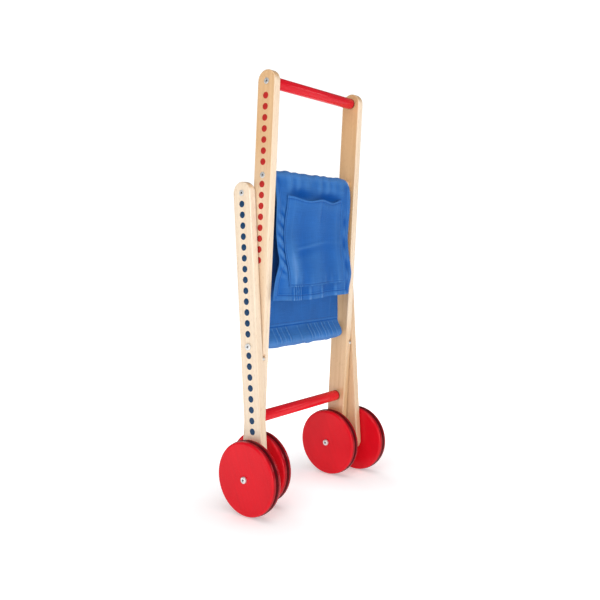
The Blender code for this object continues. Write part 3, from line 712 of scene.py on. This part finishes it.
def ramp(value, low, high):
    """Smooth step from 0 to 1 between two limits."""
    t = np.clip((value - low) / (high - low), 0, 1)
    return t * t * (3 - 2 * t)


def swell(value, centre, width):
    """Soft bump of height 1."""
    return np.exp(-(((value - centre) / width) ** 2))


def drawn_line(points, softness=5.0):
    """Soft curve along rough points, given in millimetres as (depth, value)."""
    step = 0.5
    depths = np.arange(-40.0, 220.0, step)
    reach = int(3 * softness / step)
    weights = swell(np.arange(-reach, reach + 1) * step, 0.0, softness)
    rough = np.pad(np.interp(depths, *zip(*points)), reach, mode="edge")
    soft = np.convolve(rough, weights / weights.sum(), mode="valid")
    return lambda depth: np.interp(depth / mm, depths, soft) * mm


def ridges(x, lines):
    """Gathers that run down the cloth, given in millimetres as (place, width, height)."""
    return sum(height * mm * swell(x, line * mm, width * mm) for line, width, height in lines)


flap_left = drawn_line([(0, -86), (14, -84.5), (24, -82.5), (32, -81), (45, -80.5), (60, -80.5), (72, -80),
                        (84, -78.6), (96, -77), (106, -75.4), (112, -76.5), (120, -80), (128, -84),
                        (138, -86.6), (148, -88.4), (158, -88.4)], 4.0)
flap_right = drawn_line([(-7, 75), (4, 83), (30, 83), (50, 82), (76, 80), (95, 81), (112, 83.5), (128, 85),
                         (138, 83), (148, 80), (158, 78.5)], 4.0)
flap_swing = drawn_line([(-7, 0), (0, 0.4), (15, 2.0), (30, 2.2), (50, 1.0), (76, 0.2), (95, 0.8),
                         (110, 2.4), (128, 4.2), (146, 4.0), (158, 3.2)], 7.0)
patch_left = drawn_line([(24, -60), (40, -62.5), (55, -65), (72, -66.5), (90, -66), (105, -64.5),
                         (122, -62), (140, -61)])
patch_right = drawn_line([(24, 61.3), (50, 60.3), (76, 60), (110, 61.5), (140, 62.5)])
patch_top = 24 * mm
top_gathers = [(-87, 6, 3.4), (-54, 7, 1.7), (-35, 5, 1.0), (-15, 7, 0.8), (12, 5, 1.2), (30, 5, 1.2),
               (46, 6, 0.6), (62, 8, 1.5)]
gathers_end = 30 * mm
top_dents = [(-28, 24, 20, 9, 3.8), (32, 24, 22, 8, 4.2)]
hem_puckers = [(-50, 1.7, 1.5), (-44.5, 1.7, 1.8), (-39, 1.7, 1.8), (-33.5, 1.7, 1.5), (-14, 3, 1.0),
               (11.5, 3, 1.1), (44, 3.5, 0.8), (66, 3, 0.9)]
puckers_from = (134 * mm, 148 * mm)
flap_wave, flap_waves = 1.6 * mm, 3
rope_pitch, rope_slant = 15.0 * mm, 9.0 * mm
rope_rise, rope_twist = 1.3 * mm, 0.9 * mm
rope_from, rope_until = (30 * mm, 60 * mm), (116 * mm, 134 * mm)
slack_inset, slack_width = 9 * mm, 6 * mm
slack_rise, slack_pitch = 0.9 * mm, 31 * mm
fullness_from = (0.1 * math.pi, 0.55 * math.pi)
flap_sag, sag_middle, sag_width = 3.0 * mm, -25 * mm, 45 * mm
sag_from = (60 * mm, 150 * mm)


def flap_fullness(x, depth):
    """How far the hanging flap stands out towards the child, beyond its rod's tangent."""
    wave = flap_wave * np.clip(depth / flap_drop, 0, 1) * np.cos(2 * math.pi * flap_waves * x / flap_width)
    gathers = ridges(x, top_gathers) * (1 - ramp(depth, 0, gathers_end))
    dents = sum(deep * mm * swell(x, line * mm, width * mm) * swell(depth, level * mm, height * mm)
                for line, width, level, height, deep in top_dents)
    left = flap_left(depth)
    share = (x - left) / (patch_left(np.maximum(depth, patch_top)) - left)
    border = np.sin(math.pi * np.clip(share, 0, 1) ** 1.5) * ramp(depth, *rope_from)
    border = border * (1 - ramp(depth, *rope_until))
    rope = rope_rise + rope_twist * np.sin(2 * math.pi * (depth - rope_slant * share) / rope_pitch)
    slack = swell(x - flap_right(depth), -slack_inset, slack_width) * ramp(depth, *rope_from)
    slack = slack * slack_rise * np.sin(2 * math.pi * depth / slack_pitch)
    puckers = ridges(x, hem_puckers) * ramp(depth, *puckers_from)
    return flap_swing(depth) + wave + gathers - dents + border * rope + slack + puckers


def flap_hem(x, depth):
    """Double cloth along the hems, drawn in along its row of stitches."""
    side = np.minimum(x - flap_left(depth), flap_right(depth) - x) / side_hem
    inside = np.minimum(side, (flap_drop - depth) / bottom_hem)
    doubled = 1 - ramp(inside, *hem_fold)
    return (hem_rise * doubled - seam_sink * swell(inside, hem_seam, hem_seam_width)) * ramp(depth, *hem_from)


def over_rod(run, tail):
    """How far a strip has turned over its rod, and how far it hangs below, after a run from its end."""
    turn = np.clip((run - tail) / sleeve_radius, 0, math.pi)
    return turn, np.maximum(np.where(run < tail, tail - run, run - tail - sleeve_arc), 0)


def flap_place(across, along):
    """Place on the flap, from its left edge to its right and from its tail over the rod to its hem."""
    run = along * flap_length
    turn, below = over_rod(run, sleeve_tail)
    depth = np.where(run <= sleeve_tail, -sleeve_radius, below - sleeve_radius * np.sin(turn))
    left, right = flap_left(depth), flap_right(depth)
    x = left + (right - left) * (across + 1) / 2
    reach = sleeve_radius + flap_fullness(x, depth) * ramp(turn, *fullness_from) + flap_hem(x, depth)
    y = rear_rod[1] + np.cos(turn) * reach
    z = rear_rod[2] + np.sin(turn) * reach - below
    z = z - flap_sag * swell(x, sag_middle, sag_width) * ramp(depth, *sag_from)
    return np.stack([x, y, z], axis=-1)


relief_scales = [(1, 0.14 * mm), (3, 0.8 * mm), (8, 1.7 * mm)]
# Painted light on the hems, partly also fading, and how far it reaches from them and from the other lit
# places.
hem_fading_and_light, painted_light_width = 0.8, 3.0 * mm


def cloth_relief(points, scales):
    """How far each point of a cloth stands out of its surroundings, from -1 in a crease to 1 on a crown."""
    along, across = np.gradient(points, axis=0), np.gradient(points, axis=1)
    way = np.cross(across, along)
    way /= np.linalg.norm(way, axis=2, keepdims=True) + 1e-12
    way *= -np.sign(way[:, :, 1].mean()) or 1.0
    relief = np.zeros(points.shape[:2])
    for reach, height in scales:
        wide = np.pad(points, ((reach, reach), (reach, reach), (0, 0)), mode="edge")
        around = (wide[:-2 * reach, reach:-reach] + wide[2 * reach:, reach:-reach]
                  + wide[reach:-reach, :-2 * reach] + wide[reach:-reach, 2 * reach:]) / 4
        relief += ((points - around) * way).sum(axis=2) / height
    return np.tanh(relief)


def cloth_sheet(name, columns, rows, place, flat_width, flat_length, from_painted_light=None, scales=3):
    """Sheet of cloth laid out by place(across, along), welded where it closes and given its thickness.
    Its weave map keeps the flat sizes in metres, and its relief its folds and the places that
    from_painted_light gives, which the cotton turns into painted shade in the creases and painted light on
    the crowns and hems."""
    sheet = primitive(bpy.ops.mesh.primitive_grid_add, False, x_subdivisions=columns, y_subdivisions=rows,
                      size=2.0)
    sheet.name = sheet.data.name = name
    grid = np.empty(len(sheet.data.vertices) * 3)
    sheet.data.vertices.foreach_get("co", grid)
    across, along = grid.reshape(-1, 3)[:, 0], (grid.reshape(-1, 3)[:, 1] + 1) / 2
    points = place(across, along)
    sheet.data.vertices.foreach_set("co", points.ravel())
    folds = cloth_relief(points.reshape(rows + 1, columns + 1, 3), relief_scales[:scales]).ravel()
    if from_painted_light:
        folds = folds + hem_fading_and_light * swell(from_painted_light(across, along), 0.0, painted_light_width)
    # The relief drives painted shade in the creases and painted light on the crowns, the hems and the other
    # places given.
    sheet.data.attributes.new("relief", "FLOAT", "POINT").data.foreach_set("value", folds)
    corners = np.empty(len(sheet.data.loops), dtype=np.int32)
    sheet.data.loops.foreach_get("vertex_index", corners)
    flat = np.stack([across * flat_width / 2, along * flat_length], axis=-1)[corners]
    weave = sheet.data.uv_layers[0]
    weave.name = "weave"
    weave.data.foreach_set("uv", flat.ravel())
    bpy.ops.object.mode_set(mode="EDIT")
    bpy.ops.mesh.select_all(action="SELECT")
    bpy.ops.mesh.remove_doubles(threshold=0.02 * mm)
    bpy.ops.mesh.select_all(action="SELECT")
    bpy.ops.mesh.normals_make_consistent(inside=False)
    bpy.ops.object.mode_set(mode="OBJECT")
    solid = sheet.modifiers.new("thickness", "SOLIDIFY")
    solid.thickness = cloth_thickness
    solid.offset = 0.0
    bpy.ops.object.modifier_apply(modifier="thickness")
    shaded(sheet, 60)
    return sheet


threads_per_metre = 1700.0
# Painted shade and light: the blue is deeper in creases and paler on crowns and hems, partly standing for
# fading.
crease_shade_blue = (0.000, 0.075, 0.350, 1)
crown_lit_blue = (0.046, 0.175, 0.468, 1)
worn_and_lit_blue = (0.134, 0.285, 0.59, 1)


def plain_weave(place, relief):
    """Plain weave of slightly uneven threads, with painted light on the crowns of its folds and on its hems,
    partly also fading, and painted shade in its creases.
    """
    split = add_node("ShaderNodeSeparateXYZ", {"Vector": place})
    waves = [sums("SINE", sums("MULTIPLY", split.outputs[axis], math.pi * threads_per_metre), 0.0)
             for axis in (x_axis, y_axis)]
    crown = sums("MULTIPLY", *waves)
    warp, weft = (spread(stretched_noise(place, stretch, 1.0), 0.3, 0.7, -0.07, 0.07)
                  for stretch in ((1500, 40, 1), (40, 1500, 1)))
    threads = sums("ADD", warp, weft)
    fading = stretched_noise(place, (22, 22, 1), 3.0)
    shade = sums("ADD", threads, spread(fading, 0.3, 0.7, 0.92, 1.08))
    shade = sums("ADD", shade, sums("MULTIPLY", crown, 0.07))
    # Painted shade in the creases, painted light on the crowns, and more painted light on the hems.
    colour = mixed(spread(relief, -1.0, 1.0), crease_shade_blue, crown_lit_blue)
    colour = mixed(spread(relief, 0.9, 1.8, 0.0, 0.8), colour, worn_and_lit_blue)
    roughness = spread(fading, 0.3, 0.7, 0.50, 0.60)
    return tinted(colour, shade), roughness, sums("ADD", crown, threads)


blue_cotton, cotton_tree, cotton_shader = new_material("blue_cotton")
weave_effect = effect("plain_weave", {"Along Threads": "Vector", "Relief": "Float"}, plain_weave)
weave_map = add_node("ShaderNodeUVMap", {}, cotton_tree, uv_map="weave").outputs[0]
fold_map = add_node("ShaderNodeAttribute", {}, cotton_tree, attribute_name="relief").outputs["Fac"]
feed(cotton_shader, weave_effect, {"Along Threads": weave_map, "Relief": fold_map}, 0.05 * mm,
     {"Specular IOR Level": 0.07, "Sheen Weight": 0.03, "Sheen Roughness": 0.4,
      "Sheen Tint": (0.45, 0.62, 1.0, 1)})


def from_flap_hem(across, along):
    return np.minimum((1 - np.abs(across)) * flap_width / 2, (1 - along) * flap_length)


flap = cloth_sheet("blue_flap", 130, 150, flap_place, flap_width, flap_length, from_flap_hem)
dress(flap, blue_cotton, "handle_frame")
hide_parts("pocket_flap")

# Thread: lock stitches of matching blue thread, sewn by machine in rows along the hems and seams, here
# along the flap's hems. Each stitch stands on the cloth, in the furrow that its row draws in.
stitch_length = 2.5 * mm
stitch_pitch = 3.3 * mm
stitch_half_width = 0.32 * mm
stitch_half_height = 0.25 * mm
stitch_lift = cloth_thickness / 2
deep_thread, pale_thread = (0.004, 0.030, 0.15, 1), (0.014, 0.065, 0.26, 1)
thread_blue = two_tone("blue_thread", (2400, 2400, 900), 1.0, deep_thread, pale_thread, (0.5, 0.7))
stitch = primitive(bpy.ops.mesh.primitive_uv_sphere_add, segments=6, ring_count=4, radius=1.0,
                   rotation=along_x)
bpy.ops.mesh.select_all(action="SELECT")
bpy.ops.transform.resize(value=(stitch_length / 2, stitch_half_width, stitch_half_height))
bpy.ops.object.mode_set(mode="OBJECT")


def stitch_row(line, outward):
    """Stitches along a line of points on cloth, standing on its outer side."""
    steps = np.linalg.norm(np.diff(line, axis=0), axis=1)
    run = np.concatenate([[0.0], np.cumsum(steps)])
    stitches = []
    for number in range(int(run[-1] / stitch_pitch)):
        ends = np.array([0.0, stitch_length]) + number * stitch_pitch + (stitch_pitch - stitch_length) / 2
        start, end, out = (Vector([np.interp(at, run, values[:, axis]) for axis in range(3)])
                           for at, values in ((ends[0], line), (ends[1], line), (ends.mean(), outward)))
        along = (end - start).normalized()
        up = out.normalized()
        up = (up - along * up.dot(along)).normalized()
        turn = Matrix((along, up.cross(along), up)).transposed().to_4x4()
        stitches.append(placed_copy(stitch, "stitch", Matrix.Translation((start + end) / 2) @ turn))
    return stitches


def on_cloth(place, across, along, sense):
    """Points just off a cloth's outer side, and the way out there."""
    step = 0.002
    here = place(across, along)
    way = np.cross(place(across + step, along) - here, place(across, along + step) - here) * sense
    way /= np.linalg.norm(way, axis=1, keepdims=True)
    return here + way * stitch_lift, way


def stitching(name, place, rows, sense):
    """Stitching in rows, each given across and along a cloth. The sense tells its outer side."""
    stitches = []
    for row in rows:
        stitches += stitch_row(*on_cloth(place, *np.broadcast_arrays(*row), sense))
    return joined(name, stitches)


hem_height = 1 - hem_seam * bottom_hem / flap_length
hem_across = 1 - hem_seam * side_hem / (flap_width / 2)
hem_line = np.linspace(-0.9, 0.9, 160)
side_line = np.linspace((sleeve_tail + sleeve_arc + 8 * mm) / flap_length, hem_height, 140)
flap_stitching = stitching("flap_stitching", flap_place, [(hem_line, hem_height), (-hem_across, side_line),
                                                          (hem_across, side_line)], -1)
dress(flap_stitching, thread_blue, "handle_frame")

# Pocket: a patch of the same cotton sewn to the flap along its sides and bottom. Its hemmed mouth sags
# and stands a little away from the flap.
pocket_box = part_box("flap_pocket")
pocket_mouth = rear_rod[2] - pocket_box[1][2]
pocket_bottom = rear_rod[2] - pocket_box[0][2]
pocket_half_width = (pocket_box[1][0] - pocket_box[0][0]) / 2
pocket_height = pocket_bottom - pocket_mouth
pocket_layer, sewn_layer = 1.0 * mm, 0.3 * mm
pocket_puff, mouth_stand = 0.9 * mm, 6.0 * mm
mouth_hem = 4.2 * mm
mouth_seam = 0.8 * mouth_hem
mouth_sags = [(-0.35, 0.33, 4.2), (0.56, 0.27, 4.4)]
mouth_arch = 1.2 * mm
sewn_inset, sewn_width = 2.2 * mm, 0.9 * mm
corner_puff, corner, corner_size = 1.7 * mm, (-0.7, 0.2), 0.25
# Painted light: a spot on the pocket's lower left is painted paler.
lit_spot, lit_spot_size = (-0.78, 0.22), (0.22, 0.25)
wrinkle_depth, wrinkle_climb, wrinkle_height = 93 * mm, 9 * mm, 0.4 * mm
wrinkle_width, wrinkle_valley = 2.4 * mm, 6 * mm
wrinkle_climbs, wrinkle_starts, wrinkle_fades = (-0.8, 0.5), (-0.75, -0.45), (-0.1, 0.7)
fold_middle, fold_width, fold_height = 7 * mm, 2.5 * mm, 0.4 * mm
fold_depth, fold_length = 42 * mm, 20 * mm
bottom_puckers = [(-50, 3, 0.4), (-36, 4, 0.3), (-12, 5, 0.35), (18, 4, 0.35), (34, 3, 0.3), (50, 3, 0.4)]


def flap_point(x, depth):
    """The flap's place at a distance from its middle and a depth below its rod."""
    left, right = flap_left(depth), flap_right(depth)
    along = (sleeve_tail + sleeve_arc + depth) / flap_length
    return flap_place((x - left) / (right - left) * 2 - 1, along)


def from_pocket_seam(across, along):
    return np.minimum((1 - np.abs(across)) * pocket_half_width, along * pocket_height)


def pocket_place(across, along):
    """Place on the pocket, from its left side to its right and from its bottom to its mouth."""
    arch = np.cos(np.clip(across, -1, 1) * math.pi / 2)
    free = np.minimum(arch * 3, 1)
    up = np.clip(along, 0, 1)
    sag = sum(deep * mm * swell(across, place, width) for place, width, deep in mouth_sags)
    sag = sag + mouth_arch * arch
    depth = pocket_bottom - along * pocket_height + sag * free * up ** 7
    x = patch_left(depth) + (patch_right(depth) - patch_left(depth)) * (across + 1) / 2
    stand = mouth_stand * arch * up ** 4 + pocket_puff * free
    stand = stand + corner_puff * swell(across, corner[0], corner_size) * swell(along, corner[1], corner_size)
    crest = wrinkle_depth - wrinkle_climb * ramp(across, *wrinkle_climbs)
    wrinkle = swell(depth, crest, wrinkle_width) - swell(depth, crest + wrinkle_valley, wrinkle_valley)
    wrinkle = wrinkle * ramp(across, *wrinkle_starts) * (1 - 0.75 * ramp(across, *wrinkle_fades))
    fold = np.tanh((x - fold_middle) / fold_width) * swell(depth, fold_depth, fold_length)
    stand = stand + wrinkle_height * wrinkle - fold_height * fold
    stand = stand + ridges(x, bottom_puckers) * swell(along, 0.04, 0.09)
    from_seam = from_pocket_seam(across, along)
    from_mouth = (1 - along) * pocket_height
    layer = pocket_layer + sewn_layer * (1 - ramp(from_seam, 0, 3 * mm))
    layer = layer - sewn_layer * swell(from_seam, sewn_inset, sewn_width)
    layer = layer + hem_rise * (1 - ramp(from_mouth, mouth_hem - 0.5 * mm, mouth_hem + 0.5 * mm))
    layer = layer - seam_sink * swell(from_mouth, mouth_seam, 0.7 * mm)
    point = flap_point(x, depth)
    point[:, 1] -= layer + np.maximum(stand, 0)
    return point


def from_pocket_hem(across, along):
    """Distance from what gets painted light: the hems, and a spot in a corner."""
    off_spot = [(at - middle) / size for at, middle, size in zip((across, along), lit_spot, lit_spot_size)]
    return np.minimum(from_pocket_seam(across, along), np.hypot(*off_spot) * painted_light_width)


pocket = cloth_sheet("blue_pocket", 100, 100, pocket_place, 2 * pocket_half_width, pocket_height,
                     from_pocket_hem)
dress(pocket, blue_cotton, "handle_frame")
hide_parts("flap_pocket")
sewn_up = np.linspace(0.02, 0.99, 110)
sewn_across = np.linspace(-0.96, 0.96, 120)
side_inset = 1 - sewn_inset / pocket_half_width
pocket_rows = [(-side_inset, sewn_up), (side_inset, sewn_up), (sewn_across, sewn_inset / pocket_height),
               (sewn_across, 1 - mouth_seam / pocket_height)]
pocket_stitching = stitching("pocket_stitching", pocket_place, pocket_rows, 1)
dress(pocket_stitching, thread_blue, "handle_frame")

# Bag: a deep cotton bag between the two rods, with pleated sides that let it open. Its bottom is a
# separate strip, gathered into a seam and slack below it.
front_rod = middle_and_half("front_bag_rod")[0]
bag_half_width = 77.5 * mm
bag_rear_top = rear_rod[2] - 4.0 * mm
bag_front_top = front_rod[2] - 1.0 * mm
bag_seam = pivot_height + 20.5 * mm
bag_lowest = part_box("bag_bottom")[0][2]
bag_middle = -0.65 * mm
seam_half_depth, loop_half_depth = 2.75 * mm, 10.3 * mm
belly_share, belly_height = 0.4, 7.5 * mm
bag_flare = 3.5 * mm
bag_corner = 3.0 * mm
rear_line = rear_rod[1] + sleeve_radius + cloth_gap
front_line = front_rod[1] - sleeve_radius - cloth_gap
pleat_depth, pleat_from = 50.0 * mm, (0.0, 0.7)
pleat_belly, belly_reach = 1.2 * mm, 0.2
corner_lift = 1.0 * mm
bag_columns, panel_columns, pleat_columns = 306, 120, 33
front_columns = panel_columns + pleat_columns
bag_rows, seam_share = 130, 0.16
bag_weave = (440.0 * mm, 240.0 * mm)
gather_slant, fold_slant = 0.15, 0.08
gathers_from, gathers_until = (0.25, 0.55), (0.92, 1.0)
seam_crease, seam_crease_width = 0.5 * mm, 0.9 * mm
loop_gathers = [(-70, 1.6, 0.5), (-61.5, 1.5, 1.4), (-52, 1.6, 0.5), (-42, 1.5, 1.4), (-18, 1.8, 0.5),
                (5, 1.6, 1.2), (12, 1.6, 0.7), (21, 1.6, 0.9), (27, 1.6, 0.6), (36.5, 1.5, 1.6),
                (44, 1.6, 0.5), (53, 1.5, 1.4), (64, 1.7, 0.7)]
panel_folds = [(-58, 10, 0.8), (-24, 12, 0.7), (12, 6, 0.7), (36, 9, 0.6), (57, 3.5, 0.8), (71, 3, 0.9)]
hem_dips = [(-60, 7, 0.5), (-22, 9, 0.6), (9, 5, 1.3), (40, 8, 0.8), (53, 4, 1.2)]


def bag_place(across, along):
    """Place on the bag, once round its sides from the rear left corner and from its bottom to its top."""
    step = (across + 1) / 2 * bag_columns
    third = front_columns + panel_columns
    on_rear, on_right = step <= panel_columns, (step > panel_columns) & (step < front_columns)
    on_front = (step >= front_columns) & (step <= third)
    to_front = np.where(on_rear, 0.0, np.where(on_front, 1.0, np.where(
        on_right, (step - panel_columns) / pleat_columns, (bag_columns - step) / pleat_columns)))
    cross = np.where(on_rear, 2 * step / panel_columns - 1, np.where(
        on_front, 1 - 2 * (step - front_columns) / panel_columns, np.where(on_right, 1.0, -1.0)))

    low = np.clip(along / seam_share, 0, 1)
    high = np.clip((along - seam_share) / (1 - seam_share), 0, 1)
    belly_turn = np.clip(low / belly_share, 0, 1) * math.pi / 2
    above_belly = np.clip((low - belly_share) / (1 - belly_share), 0, 1)
    loop_z = bag_lowest + belly_height * (1 - np.cos(belly_turn))
    loop_z = loop_z + (bag_seam - bag_lowest - belly_height) * above_belly
    top = bag_rear_top + (bag_front_top - bag_rear_top) * to_front
    z = np.where(along < seam_share, loop_z, bag_seam + high * (top - bag_seam))

    fullness = np.sin(belly_turn) * (1 - ramp(above_belly, 0, 1))
    wide = bag_half_width + bag_flare * fullness - bag_corner * np.cos(belly_turn) ** 2
    rounded = 1 - 0.25 * np.abs(cross) ** 12
    loop_half = seam_half_depth * np.sin(belly_turn)
    loop_half = loop_half + (loop_half_depth - seam_half_depth) * fullness * rounded
    rear_seam, front_seam = bag_middle - seam_half_depth, bag_middle + seam_half_depth
    rear_y = np.where(low < 1, bag_middle - loop_half, rear_seam + high * (rear_line - rear_seam))
    front_y = np.where(low < 1, bag_middle + loop_half, front_seam + high * (front_line - front_seam))

    x = cross * wide
    gathers = ridges(x - gather_slant * (bag_seam - z), loop_gathers)
    folds = ridges(x - fold_slant * (z - bag_seam), panel_folds)
    bulge = gathers * ramp(low, *gathers_from) * (1 - ramp(low, *gathers_until))
    bulge = bulge + folds * np.sin(high * math.pi) ** 0.5 * (1 - np.abs(cross) ** 6)
    bulge = bulge - seam_crease * swell(z, bag_seam, seam_crease_width)
    rear_y, front_y = rear_y - bulge, front_y + bulge
    z = z + (corner_lift * np.abs(cross) ** 20 - ridges(x, hem_dips)) * (1 - low) ** 2
    inward = 1 - np.abs(2 * to_front - 1)
    pleat = pleat_depth * ramp(high, *pleat_from) * inward ** 0.9
    pleat = pleat - pleat_belly * np.sin(math.pi * np.clip(inward / belly_reach, 0, 1))
    x = np.where(on_rear | on_front, x, np.sign(cross) * (wide - pleat))
    return np.stack([x, rear_y + (front_y - rear_y) * to_front, z], axis=-1)


def from_lit_strip(across, along):
    """The bottom strip gets painted light all over, and the panels above it don't."""
    return np.where(along < seam_share, 0.5 * painted_light_width, 10 * painted_light_width)


# The bag's bottom strip gets painted light.
bag = cloth_sheet("blue_bag", bag_columns, bag_rows, bag_place, *bag_weave, from_lit_strip, 1)
bag.data.materials.append(blue_cotton)
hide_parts("bag_rear_panel", "bag_bottom", "bag_front_panel")
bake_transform(bag)

# Tunnel: a strip of the same cotton that folds over the front rod, a little gathered, and is sewn to
# the bag's front panel, so that the bag hangs from the short legs.
tunnel_overlap = 14.0 * mm
tunnel_tail = 12.0 * mm
tunnel_length = tunnel_overlap + sleeve_arc + tunnel_tail
tunnel_seam = 1 - 3.0 * mm / tunnel_length
tunnel_gathers = [(-66, 5, 0.8), (-48, 6, 0.9), (-30, 5, 0.7), (-9, 7, 0.9), (12, 6, 0.8), (35, 5, 0.9),
                  (53, 6, 0.7), (70, 5, 0.8)]


def tunnel_place(across, along):
    """Place on the tunnel, from its left end to its right and from the bag over the rod to its tail."""
    turn, below = over_rod(along * tunnel_length, tunnel_overlap)
    x = across * bag_half_width
    reach = sleeve_radius + ridges(x, tunnel_gathers) * np.sin(turn) ** 0.5
    y = front_rod[1] - np.cos(turn) * reach
    z = front_rod[2] + np.sin(turn) * reach - below
    return np.stack([x, y, z], axis=-1)


tunnel = cloth_sheet("blue_rod_tunnel", 120, 44, tunnel_place, 2 * bag_half_width, tunnel_length)
dress(tunnel, blue_cotton, "short_frame")
tunnel_row = (np.linspace(-0.97, 0.97, 140), tunnel_seam)
tunnel_stitching = stitching("tunnel_stitching", tunnel_place, [tunnel_row], 1)
dress(tunnel_stitching, thread_blue, "short_frame")

# Bag stitching: one row of the same lock stitches just above the bottom seam, where the gathered strip
# is sewn to the panels, on the rear and on the front.
bag_stitch_level = seam_share + 0.02
panel_across = 2 * panel_columns / bag_columns * np.linspace(0.02, 0.98, 160) - 1
front_across = panel_across + 2 * front_columns / bag_columns
bag_rows_sewn = [(panel_across, bag_stitch_level), (front_across, bag_stitch_level)]
bag_stitching = stitching("bag_stitching", bag_place, bag_rows_sewn, 1)
bag_stitching.data.materials.append(thread_blue)
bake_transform(bag_stitching)
bpy.data.objects.remove(stitch)

# Floor and light: a white studio sweep with a painted glow, dimmer near the wheels as painted shade, under
# broad
# soft lights: one above, one on the left, a small one low beside the camera, one on the right and one behind.
floor_grey = (0.85, 0.85, 0.85, 1)
wheel_line = (0.1, 0, 0)
# Painted shade on the floor: its glow is weakest near the wheels and full further out.
wheel_shade_reach, glow_strength = (0.03, 0.3), (0.36, 0.95)
surround_light, surround_seen = 0.22, 1.1
floor = primitive(bpy.ops.mesh.primitive_plane_add, False, size=40.0, location=(0, 0, cad_box[0][2]))
floor.name = "studio_floor"
floor_white, floor_tree, floor_shader = new_material("studio_white")
either_side = add_node("ShaderNodeVectorMath", {0: own_place(floor_tree)}, operation="ABSOLUTE")
from_wheels = add_node("ShaderNodeVectorMath", {0: either_side.outputs[0], 1: wheel_line},
                       operation="DISTANCE")
painted_floor_glow = spread(from_wheels.outputs["Value"], *wheel_shade_reach, *glow_strength)
set_inputs(floor_shader, {"Base Color": floor_grey, "Roughness": 0.9, "Specular IOR Level": 0.1,
                          "Emission Color": painted_floor_glow, "Emission Strength": 1.0})
floor.data.materials.append(floor_white)

surround = bpy.data.worlds.new("studio_surround")
surround.use_nodes = True
bpy.context.scene.world = surround
seen = add_node("ShaderNodeLightPath", {}, surround.node_tree).outputs["Is Camera Ray"]
brightness = spread(seen, 0.0, 1.0, surround_light, surround_seen)
set_inputs(surround.node_tree.nodes["Background"], {"Color": (1, 1, 1, 1), "Strength": brightness})

light_aim = Vector((0, 0, 0.3))
for name, place, size, power in (("top_light", (-0.2, -0.5, 2.0), 1.2, 10.0),
                                 ("right_light", (1.3, -1.2, 0.75), 0.5, 2.2),
                                 ("left_light", (-1.5, -0.45, 1.0), 0.9, 7.0),
                                 ("near_light", (-0.8, -1.25, 0.35), 0.5, 4.0),
                                 ("far_light", (0.8, 1.6, 1.3), 1.2, 9.0)):
    light = bpy.data.lights.new(name, "AREA")
    light.size = size
    light.energy = power
    lamp = bpy.data.objects.new(name, light)
    lamp.location = place
    lamp.rotation_euler = (light_aim - Vector(place)).to_track_quat("-Z", "Y").to_euler()
    bpy.context.scene.collection.objects.link(lamp)
